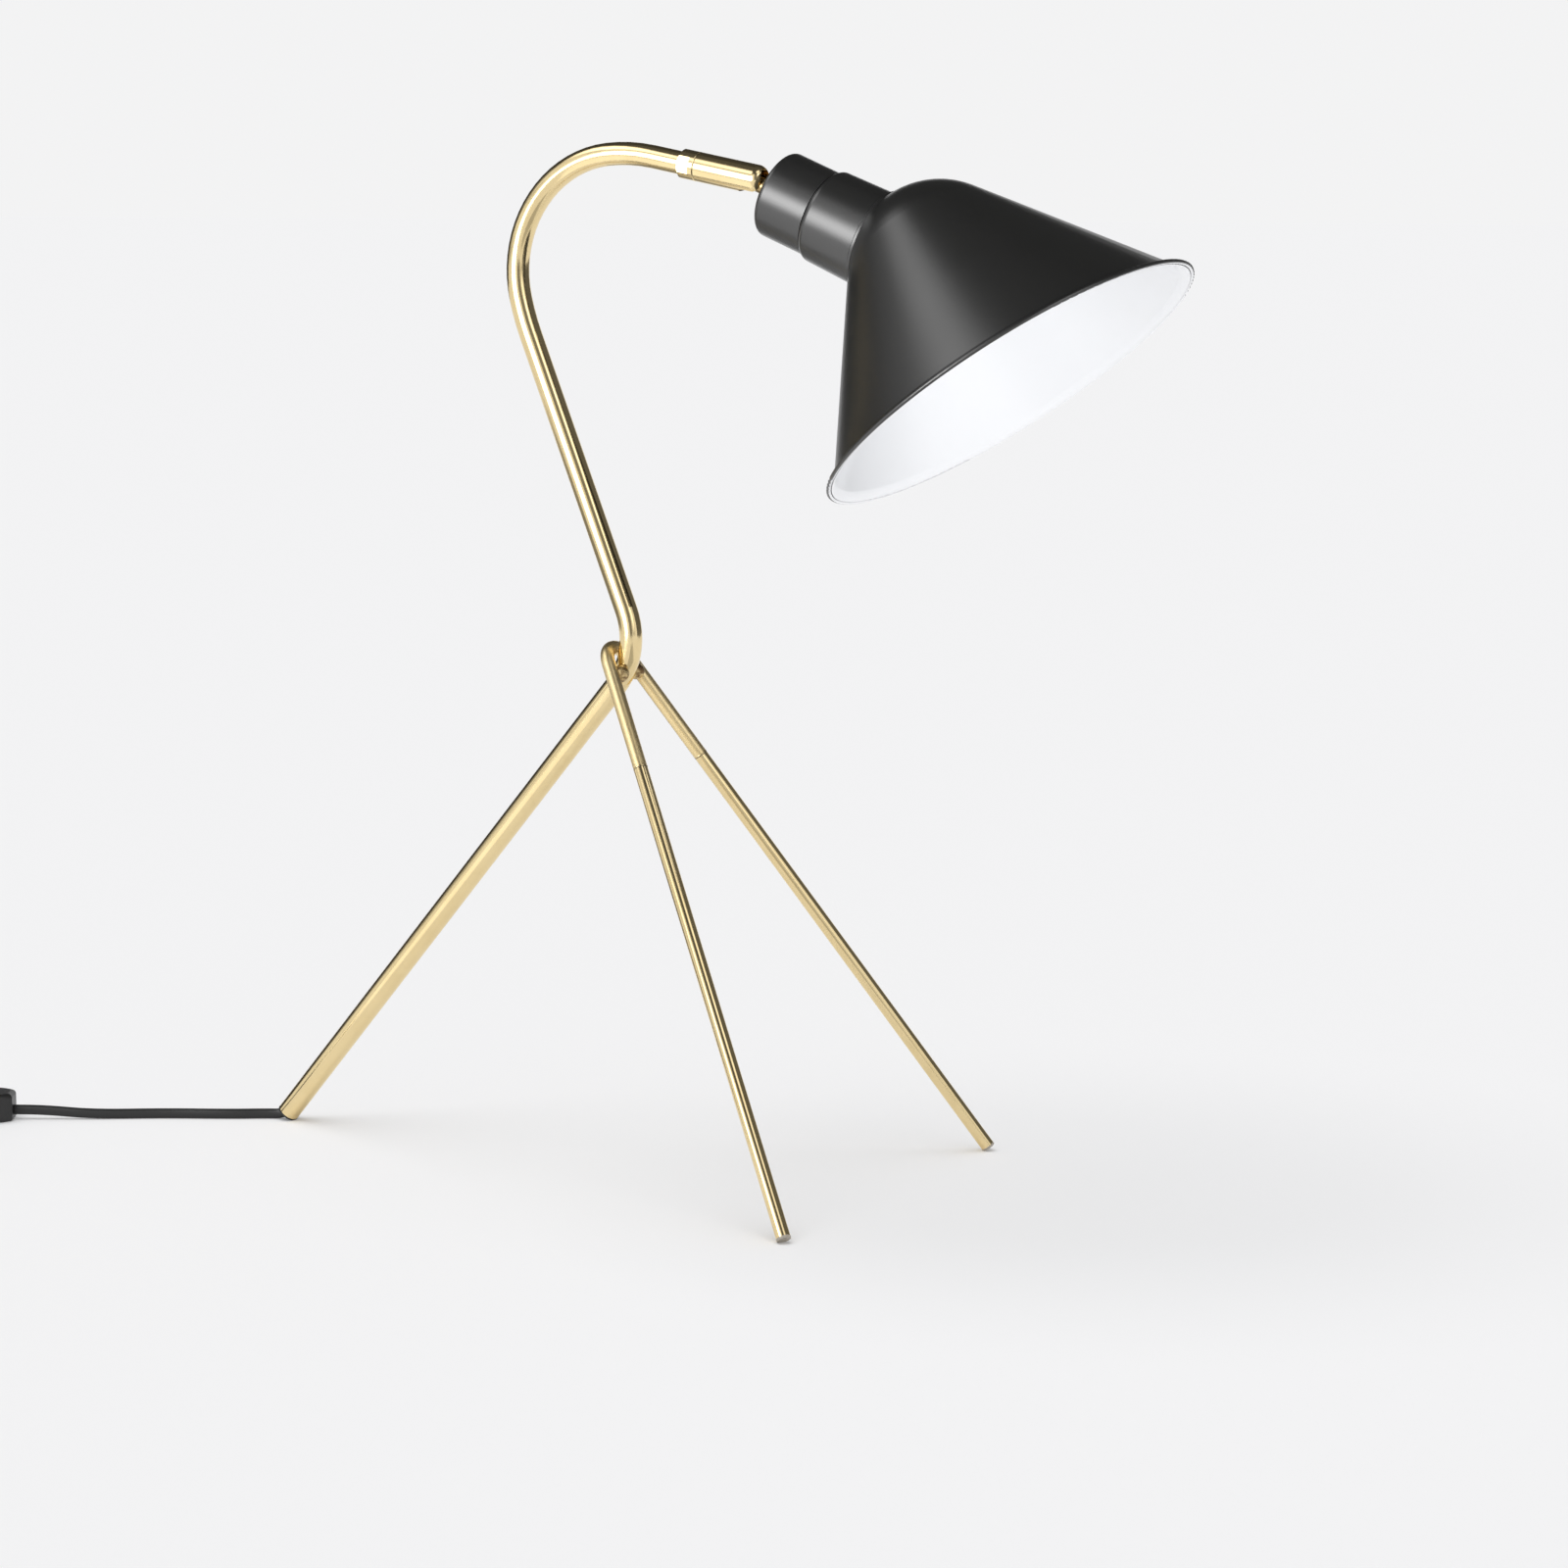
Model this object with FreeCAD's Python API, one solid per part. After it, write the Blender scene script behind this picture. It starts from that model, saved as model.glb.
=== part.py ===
import FreeCAD, Part
import math
import os
from FreeCAD import Vector

# Tripod table lamp. Millimetres. +X points from the rear foot to the shade, +Z is up, and the lamp is
# symmetric about the XZ plane. The origin is on the floor, under the middle of the lamp's length.

# ---------------------------------------------------------------- driving dimensions
HEIGHT = 514.35            # floor to the top of the gooseneck, 20 1/4 in
RIM_D = 203.2              # shade opening, 8 in over the rolled edge
FEET_SPREAD = 228.6        # over the outsides of the two front feet, 9 in

# main tube: rear leg, crook, stem and gooseneck bent from one length
TUBE_D = 11.5
TUBE_WALL = 1.0
REAR_FOOT_X = -249.8       # centre of the tube's cut end
LEG_RISE = 49.65           # degrees above the floor
LEG_RUN = 314.6            # straight part of the rear leg
CROOK_R = 38.0
STEM_RISE = 111.9          # degrees from +X, so the stem leans back
GOOSENECK = ((125.0, 9.0), (58.3, 97.4), (92.0, 16.3))   # (bend radius, degrees turned)
TIP_RUN = 16.8             # straight tube from the last bend to the swivel

# tripod yoke and front legs
ROD_D = 7.1
YOKE_APEX = Vector(-60.3, 0, 284.0)    # where the centre lines of the two front legs would cross
YOKE_BEND_R = 11.4
YOKE_ARM = 94.0            # from the crossing to the joint with the lower leg
FRONT_FOOT_X = 110.1
BRAZE_R = 4.4
BRAZE_AT = 41.0            # from the crossing, along an arm
BRAZE_SHIFT = (1.4, 1.8, 0.5)          # from the arm and the tube's side to the fillet's middle
STUD_D = 4.0
STUD_HALF = 10.0
PAD_T = 1.2
PAD_PLUG_D = 3.0
PAD_PLUG_L = 5.0
FLOOR_CUT = 0.35           # depth of the small flat that each foot rests on

# swivel, measured along its axis from the end of the tube
SWIVEL_D = 14.5
COLLAR_L = 9.5
FLATS_L = 6.8
ACROSS_FLATS = 12.0
BODY_START = 9.7
BODY_END = 47.3
BODY_NOSE_R = 5.0          # rounding of the body's nose
CHAMBER_D = 11.6
BALL_AT = 34.6
BALL_D = 11.4
NIPPLE_D = 9.5
NIPPLE_BORE = 7.2
NIPPLE_IN = 12.0           # its reach into the tube
SPIGOT_D = 8.0
SPIGOT_BORE = 6.4
SPIGOT_END = 17.4
CLIP_AT = 15.2             # start of the clip's groove
CLIP_GROOVE = 1.2
CLIP_DEPTH = 0.4
STOP_AT = 18.2             # ring that the springs stand on
STOP_BORE = 6.4
STOP_T = 2.0
SPRING_COUNT = 4
SPRING_D = 11.0
SPRING_BORE = 6.8
SPRING_DISH = 0.9
SPRING_T = 0.55
SPRING_PITCH = 1.5
SEAT_START, SEAT_END = 26.3, 32.2
SEAT_BORE = 6.6
STUD_TUBE_D = 8.0
STUD_BORE = 5.8
STUD_END = 10.5            # inside the head, from the back of the cap
SHOULDER_D = 12.0
SHOULDER_T = 2.6
TRUNNION_D = 3.0
TRUNNION_TIP = 6.5         # from the ball's centre
RUNNING_GAP = 0.05
TILT_UP = 20.0             # head tilt from rest, degrees
TILT_DOWN = 45.0

# head, measured along the neck's axis from the back of the cap
BALL_TO_CAP = 21.0
NECK_DROP = 22.6           # degrees below horizontal at rest
SHADE_DROP = 54.4
CAP_D = 43.0
CAP_L = 27.0
CAP_WALL = 0.9
CAP_EDGE_R = 2.6
NECK_D = 48.3              # at the shade
NECK_BACK_D = 46.6
NECK_SHOULDER_R = 3.2
NECK_END = 62.0
SHEET = 0.8                # shade metal
DOME_R = 43.5
DOME_AT = 94.6             # dome centre on the neck's axis
CONE_HALF = 34.6           # degrees
DOME_TO_RIM = 66.1
RIM_ROLL_R = 1.1
FLARE_R = 8.0
FLARE_TURN = 35.0          # degrees
SHADE_HOLE_D = 42.4
LIP_INNER_R, LIP_OUTER_R = 24.5, 25.7  # thin lip on the shade, round the neck
LIP_REACH = 44.5           # from the dome's centre
WASHER_D = 16.0
WASHER_T = 1.0
NUT_ACROSS = 13.0
NUT_T = 3.4

# lampholder for a 26 mm screw base, and a small bulb
HOLDER_D = 39.0
HOLDER_WALL = 2.0
SKIRT_START = 24.0
SKIRT_D = 41.0
SKIRT_END = 66.0
RING_D = 53.0              # ring that clamps the shade
RING_START, RING_END = 55.0, 64.5
RING_FLUTES = 18
BLOCK_START, BLOCK_END = 24.5, 36.0
BLOCK_D = 34.6
CONTACT_AT = 33.0          # floor of the block's pocket
TERMINAL_ASIDE = 11.5      # terminals, from the axis
SHELL_D = 28.4
SHELL_BORE = 26.8
SHELL_END = 62.0
LEAD_D = 2.2
BULB_BASE_D = 26.0
THREAD_START = 43.5
THREAD_PITCH = 3.6
THREAD_TURNS = 5
THREAD_DEPTH = 0.7
BULB_D = 48.0
BULB_L = 62.0              # glass in front of the lampholder
BULB_WALL = 0.8
GLASS_START = SKIRT_END + 1.0

# flat twin flex, drawn as a round tube as wide as the flex
FLEX_D = 5.3
FLEX_ASIDE = 0.5           # the flex lies on the upper side of the rear leg's bore
FLEX_START = 4.0           # the inner length starts here, from the tube's cut end
GROMMET_FLANGE = 1.0
GROMMET_L = 9.0
GROMMET_BORE = 7.2
CORD_LEAD = (              # from inside the rear foot, out along the floor to the switch
    (-247.7, 0.0, 7.4), (-251.7, 0.0, 2.7), (-262.0, -4.6, 2.7), (-279.4, -15.4, 2.7),
    (-309.4, -29.5, 2.7), (-341.5, -50.0, 2.7), (-362.7, -61.0, 4.8), (-378.6, -69.6, 5.2))
CORD_MIDDLE = (            # from the switch round to the coil
    (-429.7, -97.2, 5.2), (-444.3, -106.0, 5.0), (-453.5, -124.8, 4.2), (-450.8, -150.6, 3.7),
    (-438.9, -172.6, 3.7))
CORD_TAIL = (              # down off the coil and round in front of it to the plug
    (-438.9, -172.6, 9.5), (-429.9, -189.3, 9.5), (-415.0, -206.3, 5.6), (-392.9, -211.4, 3.9),
    (-373.5, -207.0, 6.6), (-360.0, -200.1, 7.4))
COIL_CENTRE = (-402.6, -153.0)
COIL_OUTER_R = 41.2
COIL_PITCH = 5.95          # between turns, side by side
COIL_LAYER = 5.8           # between the two layers
COIL_FLOOR = 3.7           # centre height of the bottom layer
COIL_TURNS_PER_LAYER = 3.25
TIE_W = 9.0
TIE_T = 0.7
TIE_INNER_R = 18.6         # from the coil's centre
TIE_CORNER_R = 2.4

# switch on the cord
SWITCH_L = 58.0
SWITCH_W = 25.0
SWITCH_H = 15.0
SWITCH_END_W = 12.4        # drawn-in ends
SWITCH_TAPER = 13.0        # length of each drawn-in end
SWITCH_SPLIT = 7.6         # height where the cover meets the base
SWITCH_WALL = 1.8
SWITCH_FOOT = 0.05         # the switch clears the floor by this
SWITCH_SCREWS = ((-15.5, 8.2), (15.5, -8.2))           # from the switch's middle
SCREW_BORE = 2.6
SCREW_HEAD_D = 5.0
ROCKER_L = 22.0
ROCKER_W = 11.0
ROCKER_LEAN = 9.0          # degrees, pressed down at one end
ROCKER_PIVOT_D = 2.2
ROCKER_PIVOT_Z = SWITCH_H - 2.6
# plug with two flat blades
PLUG_L = 30.0
PLUG_W = 25.0
PLUG_H = 14.8
PLUG_SECTIONS = (          # distance from the cord, half width, half height
    (0.0, 3.6, 3.4), (9.0, 5.6, 5.0), (13.0, PLUG_W / 2 - 1.6, PLUG_H / 2 - 1.2),
    (17.0, PLUG_W / 2, PLUG_H / 2), (PLUG_L, PLUG_W / 2, PLUG_H / 2))
PLUG_HEADING = (-298.2, -168.5)        # the blades point towards this place
GRIP_RIBS = 4
BLADE_GAP = 12.7
BLADE_L = 17.5
BLADE_T = 1.5
BLADE_W = (6.35, 7.9)
BLADE_IN = 8.0             # held inside the plug
BLADE_HOLE_D = 3.2

X = Vector(1, 0, 0)
Y = Vector(0, 1, 0)
Z = Vector(0, 0, 1)
ORIGIN = Vector(0, 0, 0)
DIAGONAL = math.sqrt(0.5)              # sine and cosine of 45 degrees, for quarter-round arcs


# ---------------------------------------------------------------- shared helpers
def cyl(radius, start, end):
    """A solid cylinder along +X from start to end."""
    return Part.makeCylinder(radius, end - start, Vector(start, 0, 0), X)


def ring(outer, inner, start, end):
    """A round sleeve along +X."""
    return cyl(outer, start, end).cut(cyl(inner, start - 1, end + 1))


def rod(radius, start, end):
    return Part.makeCylinder(radius, (end - start).Length, start, end - start)


def turned(points):
    """Revolve a closed outline of (x, radius) points about the X axis. A third value in a point makes
    the edge to it an arc through that (x, radius) pair."""
    edges = []
    for here, there in zip(points, points[1:] + points[:1]):
        a = Vector(here[0], 0, here[1])
        b = Vector(there[0], 0, there[1])
        if len(there) == 3:
            via = Vector(there[2][0], 0, there[2][1])
            edges.append(Part.Arc(a, via, b).toShape())
        elif (b - a).Length > 1e-6:
            edges.append(Part.LineSegment(a, b).toShape())
    return Part.Face(Part.Wire(edges)).revolve(ORIGIN, X, 360)


def fused(shapes):
    first, rest = shapes[0], shapes[1:]
    return first.fuse(rest).removeSplitter() if rest else first


def placed(shape, at, drop):
    """Turn a shape built along +X so that its axis drops below horizontal, and move its origin."""
    out = shape.copy()
    out.rotate(ORIGIN, Y, drop)
    out.translate(at)
    return out


def along(point, degrees, distance):
    """A point in the XZ plane, moved by a distance in a direction given from +X."""
    turn = math.radians(degrees)
    return point + Vector(math.cos(turn), 0, math.sin(turn)) * distance


def below_floor():
    """A block under the floor, which trims the feet flat."""
    return Part.makeBox(1000, 1000, 50, Vector(-500, -500, -50))


# ---------------------------------------------------------------- bent tube path
class Bender:
    """Follows a tube's centre line in the XZ plane: straight lengths and bends."""

    def __init__(self, start, heading):
        self.at = start
        self.heading = heading
        self.edges = []
        self.top = start.z

    def straight(self, length):
        end = along(self.at, self.heading, length)
        self.edges.append(Part.LineSegment(self.at, end).toShape())
        self.at = end

    def bend(self, radius, degrees):
        """Turn left for a positive angle, right for a negative one."""
        side = 90 if degrees > 0 else -90
        centre = along(self.at, self.heading + side, radius)
        middle = along(centre, self.heading - side + degrees / 2, radius)
        end = along(centre, self.heading - side + degrees, radius)
        self.edges.append(Part.Arc(self.at, middle, end).toShape())
        if self.heading > 0 > self.heading + degrees:
            self.top = centre.z + radius
        self.heading += degrees
        self.at = end

    def pipe(self, radius):
        wire = Part.Wire(self.edges)
        first = self.edges[0]
        start = first.valueAt(first.FirstParameter)
        direction = first.tangentAt(first.FirstParameter)
        profile = Part.Wire([Part.makeCircle(radius, start, direction)])
        return wire.makePipeShell([profile], True, False)


def tube_path(stem_run, offset=0.0, start_in=0.0):
    """The main tube's centre line, or one beside it on the bends' inner side at the crook."""
    foot = Vector(REAR_FOOT_X, 0, foot_height())
    start = along(along(foot, LEG_RISE, start_in), LEG_RISE + 90, offset)
    path = Bender(start, LEG_RISE)
    path.straight(LEG_RUN - start_in)
    path.bend(CROOK_R - offset, STEM_RISE - LEG_RISE)
    path.straight(stem_run)
    for radius, degrees in GOOSENECK:
        path.bend(radius + offset, -degrees)
    path.straight(TIP_RUN)
    return path


def foot_height():
    """Height of the tube's cut end, so that the grommet's edge reaches the floor."""
    rise = math.radians(LEG_RISE)
    return TUBE_D / 2 * math.cos(rise) + GROMMET_FLANGE * math.sin(rise) - FLOOR_CUT


def stem_run():
    """Straight stem that brings the top of the gooseneck to the lamp's height."""
    trial = tube_path(100.0)
    spare = HEIGHT - TUBE_D / 2 - trial.top
    return 100.0 + spare / math.sin(math.radians(STEM_RISE))


STEM_RUN = stem_run()
TUBE = tube_path(STEM_RUN)
TIP = TUBE.at
SWIVEL_DROP = -TUBE.heading
BALL = along(TIP, TUBE.heading, BALL_AT)
CAP_BACK = along(BALL, -NECK_DROP, BALL_TO_CAP)


def swivel(shape):
    return placed(shape, TIP, SWIVEL_DROP)


def head(shape):
    return placed(shape, CAP_BACK, NECK_DROP)


# ---------------------------------------------------------------- stand
def main_tube():
    outer = TUBE.pipe(TUBE_D / 2)
    return outer.cut(TUBE.pipe(TUBE_D / 2 - TUBE_WALL))


def tube_grommet():
    """Black bush in the foot: a thin flange on the cut end and a sleeve inside."""
    bore = GROMMET_BORE / 2
    flange = ring(TUBE_D / 2, bore, -GROMMET_FLANGE, 0)
    sleeve = ring(TUBE_D / 2 - TUBE_WALL, bore, 0, GROMMET_L)
    bush = placed(fused([flange, sleeve]), Vector(REAR_FOOT_X, 0, foot_height()), -LEG_RISE)
    return bush.cut(below_floor())


def leg_line(side):
    """The direction down one front leg, and its length from the yoke's crossing to the foot."""
    centre_y = FEET_SPREAD / 2 - ROD_D / 2
    rise = math.atan2(YOKE_APEX.z, math.hypot(FRONT_FOOT_X - YOKE_APEX.x, centre_y))
    low = ROD_D / 2 * math.cos(rise) - FLOOR_CUT
    line = Vector(FRONT_FOOT_X, side * centre_y, low) - YOKE_APEX
    length = line.Length
    return line.normalize(), length


def on_leg(side, distance):
    direction, _ = leg_line(side)
    return YOKE_APEX + direction * distance


def leg_length():
    return leg_line(1)[1]


def tripod_yoke():
    """The bent rod that hooks round the back of the crook, drilled at both ends for the studs."""
    near, far = leg_line(-1)[0], leg_line(1)[0]
    half_turn = (math.pi - near.getAngle(far)) / 2
    tangent = YOKE_BEND_R * math.tan(half_turn)
    down = (near + far).normalize()
    centre = YOKE_APEX + down * (YOKE_BEND_R / math.cos(half_turn))
    crown = centre - down * YOKE_BEND_R
    start, end = on_leg(-1, YOKE_ARM), on_leg(1, YOKE_ARM)
    bend_in, bend_out = on_leg(-1, tangent), on_leg(1, tangent)
    wire = Part.Wire([
        Part.LineSegment(start, bend_in).toShape(),
        Part.Arc(bend_in, crown, bend_out).toShape(),
        Part.LineSegment(bend_out, end).toShape()])
    profile = Part.Wire([Part.makeCircle(ROD_D / 2, start, bend_in - start)])
    yoke = wire.makePipeShell([profile], True, False)
    holes = [rod(STUD_D / 2, on_leg(side, YOKE_ARM - STUD_HALF - 1), on_leg(side, YOKE_ARM + 1))
             for side in (-1, 1)]
    return yoke.cut(holes)


def leg_studs():
    return [rod(STUD_D / 2, on_leg(side, YOKE_ARM - STUD_HALF), on_leg(side, YOKE_ARM + STUD_HALF))
            for side in (-1, 1)]


def front_leg(side):
    """Lower leg, drilled at the top for the stud and at the foot for the pad's plug."""
    end = leg_length() - PAD_T
    leg = rod(ROD_D / 2, on_leg(side, YOKE_ARM), on_leg(side, end))
    stud_hole = rod(STUD_D / 2, on_leg(side, YOKE_ARM - 1), on_leg(side, YOKE_ARM + STUD_HALF + 1))
    plug_hole = rod(PAD_PLUG_D / 2, on_leg(side, end - PAD_PLUG_L - 0.5), on_leg(side, end + 1))
    return leg.cut([stud_hole, plug_hole])


def leg_pad(side):
    end = leg_length() - PAD_T
    disc = rod(ROD_D / 2, on_leg(side, end), on_leg(side, end + PAD_T))
    plug = rod(PAD_PLUG_D / 2, on_leg(side, end - PAD_PLUG_L), on_leg(side, end))
    return fused([disc, plug]).cut(below_floor())


def yoke_braze(yoke):
    """Brazing metal that bridges the yoke's arms and the crook of the tube, one fillet a side."""
    fillets = []
    for side in (-1, 1):
        arm = on_leg(side, BRAZE_AT)
        ahead, aside, above = BRAZE_SHIFT
        middle = Vector(arm.x + ahead, side * (TUBE_D / 2 + aside), arm.z + above)
        fillets.append(Part.makeSphere(BRAZE_R, middle).cut([TUBE.pipe(TUBE_D / 2), yoke]))
    return fillets


# ---------------------------------------------------------------- swivel
def tube_nipple():
    return swivel(ring(NIPPLE_D / 2, NIPPLE_BORE / 2, -NIPPLE_IN, COLLAR_L - 2))


def swivel_collar():
    """Turned collar with two wrench flats, and the hollow spigot that the body turns on."""
    r = SWIVEL_D / 2
    chamfer = 0.9
    collar = turned([(0, 0), (0, r - chamfer), (chamfer, r), (COLLAR_L - 0.3, r), (COLLAR_L, r - 0.3),
                     (COLLAR_L, SPIGOT_D / 2), (SPIGOT_END, SPIGOT_D / 2), (SPIGOT_END, 0)])
    for side in (-1, 1):
        y0 = ACROSS_FLATS / 2 if side > 0 else -ACROSS_FLATS / 2 - 10
        collar = collar.cut(Part.makeBox(FLATS_L + 1, 10, 40, Vector(-1, y0, -20)))
    collar = collar.cut(cyl(NIPPLE_D / 2, -1, COLLAR_L - 2))
    collar = collar.cut(cyl(SPIGOT_BORE / 2, -1, SPIGOT_END + 1))
    groove = ring(SPIGOT_D / 2 + 1, SPIGOT_D / 2 - CLIP_DEPTH, CLIP_AT, CLIP_AT + CLIP_GROOVE)
    return swivel(collar.cut(groove))


def spigot_clip():
    """Snap ring in the spigot's groove, open on one side."""
    play = 0.1
    clip = ring(SPIGOT_D / 2 + 1.1, SPIGOT_D / 2 - CLIP_DEPTH + RUNNING_GAP, CLIP_AT + play,
                CLIP_AT + CLIP_GROOVE - play)
    opening = Part.makeBox(4, 3, 8, Vector(CLIP_AT - 1, -1.5, -8))
    return swivel(clip.cut(opening))


def swivel_body():
    """Round body with a rounded nose, a chamber for the ball, and the slot that the stud tilts in."""
    r = SWIVEL_D / 2
    nose = BODY_END - BODY_NOSE_R
    lean = BODY_NOSE_R * DIAGONAL
    body = turned([(BODY_START, 0), (BODY_START, r - 0.3), (BODY_START + 0.3, r), (nose, r),
                   (BODY_END, r - BODY_NOSE_R, (nose + lean, r - BODY_NOSE_R + lean)), (BODY_END, 0)])
    chamber = cyl(CHAMBER_D / 2, BODY_START - 1, BALL_AT)
    pocket = Part.makeSphere(CHAMBER_D / 2, Vector(BALL_AT, 0, 0))
    guide = cyl(TRUNNION_D / 2 + RUNNING_GAP, -TRUNNION_TIP - 0.1, TRUNNION_TIP + 0.1)
    guide.rotate(ORIGIN, Z, 90)
    guide.translate(Vector(BALL_AT, 0, 0))
    track_half = TRUNNION_D / 2 + RUNNING_GAP
    track = Part.makeBox(BALL_AT - BODY_START + 1, 2 * TRUNNION_TIP + 0.2, 2 * track_half,
                         Vector(BODY_START - 1, -TRUNNION_TIP - 0.1, -track_half))
    return swivel(body.cut([chamber, pocket, guide, track, stud_slot()]))


def stud_slot():
    """The space that the stud sweeps from its highest to its lowest tilt, with clearance."""
    half = STUD_TUBE_D / 2 + 0.25
    rest = NECK_DROP - SWIVEL_DROP
    reach = 20.0
    high, low = rest - TILT_UP - 2, rest + TILT_DOWN + 2
    parts = []
    for drop in (high, low):
        arm = cyl(half, 0, reach)
        parts.append(placed(arm, Vector(BALL_AT, 0, 0), drop))
    top, bottom = math.radians(high), math.radians(low)
    corners = [Vector(0, -half, 0),
               Vector(reach * math.cos(top), -half, -reach * math.sin(top)),
               Vector(reach * math.cos((top + bottom) / 2), -half, -reach * math.sin((top + bottom) / 2)),
               Vector(reach * math.cos(bottom), -half, -reach * math.sin(bottom))]
    fan = Part.Face(Part.makePolygon(corners + corners[:1])).extrude(Y * (2 * half))
    fan.translate(Vector(BALL_AT, 0, 0))
    return fused(parts + [fan])


def swivel_bush():
    """Threaded bush in the back of the body, which runs on the spigot."""
    return swivel(ring(CHAMBER_D / 2, SPIGOT_D / 2 + RUNNING_GAP, BODY_START + 0.2, CLIP_AT - 0.1))


def spring_stop():
    return swivel(ring(CHAMBER_D / 2, STOP_BORE / 2, STOP_AT, STOP_AT + STOP_T))


def disc_springs():
    """Four dished washers, set face to face in pairs, which press the seat on the ball."""
    discs = []
    outer, inner = SPRING_D / 2, SPRING_BORE / 2
    for k in range(SPRING_COUNT):
        start = STOP_AT + STOP_T + SPRING_PITCH * k
        rim, hole = (start, start + SPRING_DISH) if k % 2 == 0 else (start + SPRING_DISH, start)
        disc = turned([(rim, outer), (rim + SPRING_T, outer), (hole + SPRING_T, inner), (hole, inner)])
        discs.append(swivel(disc))
    return discs


def ball_seat():
    """Plastic cup behind the ball."""
    cup = ring(CHAMBER_D / 2 - 0.1, SEAT_BORE / 2, SEAT_START, SEAT_END)
    hollow = Part.makeSphere(BALL_D / 2 + RUNNING_GAP, Vector(BALL_AT, 0, 0))
    return swivel(cup.cut(hollow))


def tube_flex():
    """Flex inside the tube, from the foot to the end of the spigot."""
    path = tube_path(STEM_RUN, FLEX_ASIDE, FLEX_START)
    path.straight(SPIGOT_END)
    return path.pipe(FLEX_D / 2)


def swivel_flex():
    """The flex between the spigot and the ball, which takes up their turning."""
    return swivel(cyl(FLEX_D / 2, SPIGOT_END + 0.2, BALL_AT - 6.4))


# ---------------------------------------------------------------- head, built along the neck's axis
def ball_stud():
    """Hollow ball with two trunnions, a threaded stem and a shoulder that the cap sits on."""
    ball = Part.makeSphere(BALL_D / 2, Vector(-BALL_TO_CAP, 0, 0))
    stem = cyl(STUD_TUBE_D / 2, -BALL_TO_CAP, STUD_END)
    wide, chamfer = SHOULDER_D / 2, 0.7
    shoulder = turned([(-SHOULDER_T, 0), (-SHOULDER_T, wide - chamfer), (-SHOULDER_T + chamfer, wide),
                       (0, wide), (0, 0)])
    trunnions = cyl(TRUNNION_D / 2, -TRUNNION_TIP, TRUNNION_TIP)
    trunnions.rotate(ORIGIN, Z, 90)
    trunnions.translate(Vector(-BALL_TO_CAP, 0, 0))
    solid = fused([ball, stem, shoulder, trunnions])
    mouth, throat = -BALL_TO_CAP - BALL_D / 2 - 1.3, -BALL_TO_CAP - 1
    funnel = turned([(mouth, 0), (mouth, 4.9), (throat, STUD_BORE / 2), (throat, 0)])
    return head(solid.cut([funnel, cyl(STUD_BORE / 2, throat - 2, STUD_END + 1)]))


def stud_flex():
    return head(cyl(FLEX_D / 2, -BALL_TO_CAP - 4.5, STUD_END))


def socket_cap():
    """Rear cup of the head, rounded at its closed end."""
    outer, inner = CAP_D / 2, CAP_D / 2 - CAP_WALL
    hole = STUD_TUBE_D / 2 + RUNNING_GAP
    inner_r = CAP_EDGE_R - CAP_WALL
    off, inner_off = CAP_EDGE_R * (1 - DIAGONAL), inner_r * (1 - DIAGONAL)
    return head(turned([
        (0, hole), (0, outer - CAP_EDGE_R), (CAP_EDGE_R, outer, (off, outer - off)),
        (CAP_L, outer), (CAP_L, inner), (CAP_EDGE_R, inner),
        (CAP_WALL, inner - inner_r, (CAP_WALL + inner_off, inner - inner_off)), (CAP_WALL, hole)]))


def cap_washer():
    return head(ring(WASHER_D / 2, STUD_TUBE_D / 2, CAP_WALL, CAP_WALL + WASHER_T))


def hexagon(across, start, end):
    corner = across / math.sqrt(3)
    points = [Vector(start, corner * math.cos(k * math.pi / 3), corner * math.sin(k * math.pi / 3))
              for k in range(6)]
    return Part.Face(Part.makePolygon(points + points[:1])).extrude(X * (end - start))


def cap_nut():
    start = CAP_WALL + WASHER_T
    return head(hexagon(NUT_ACROSS, start, start + NUT_T).cut(cyl(STUD_TUBE_D / 2, 0, STUD_END)))


def neck_sleeve():
    """Front sleeve with a rounded shoulder. Its back wall sits on the cap, its edge on the shade."""
    outer, inner = NECK_BACK_D / 2, NECK_BACK_D / 2 - CAP_WALL
    front_r, hole = NECK_D / 2, HOLDER_D / 2 + 1.2
    big, small = NECK_SHOULDER_R, NECK_SHOULDER_R - CAP_WALL
    off, inner_off = big * (1 - DIAGONAL), small * (1 - DIAGONAL)
    back, front = CAP_L, NECK_END + 8
    inside = back + CAP_WALL
    sleeve = turned([
        (back, hole), (back, outer - big), (back + big, outer, (back + off, outer - off)),
        (NECK_END, front_r), (front, front_r), (front, front_r - CAP_WALL),
        (NECK_END, front_r - CAP_WALL), (back + big, inner),
        (inside, inner - small, (inside + inner_off, inner - inner_off)), (inside, hole)])
    return head(sleeve.cut(on_shade_axis(shade_outline(0))))


def on_shade_axis(shape):
    """Move a shape built about the dome's centre, along the shade's axis, into the head's frame."""
    return placed(shape, Vector(DOME_AT, 0, 0), SHADE_DROP - NECK_DROP)


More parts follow.
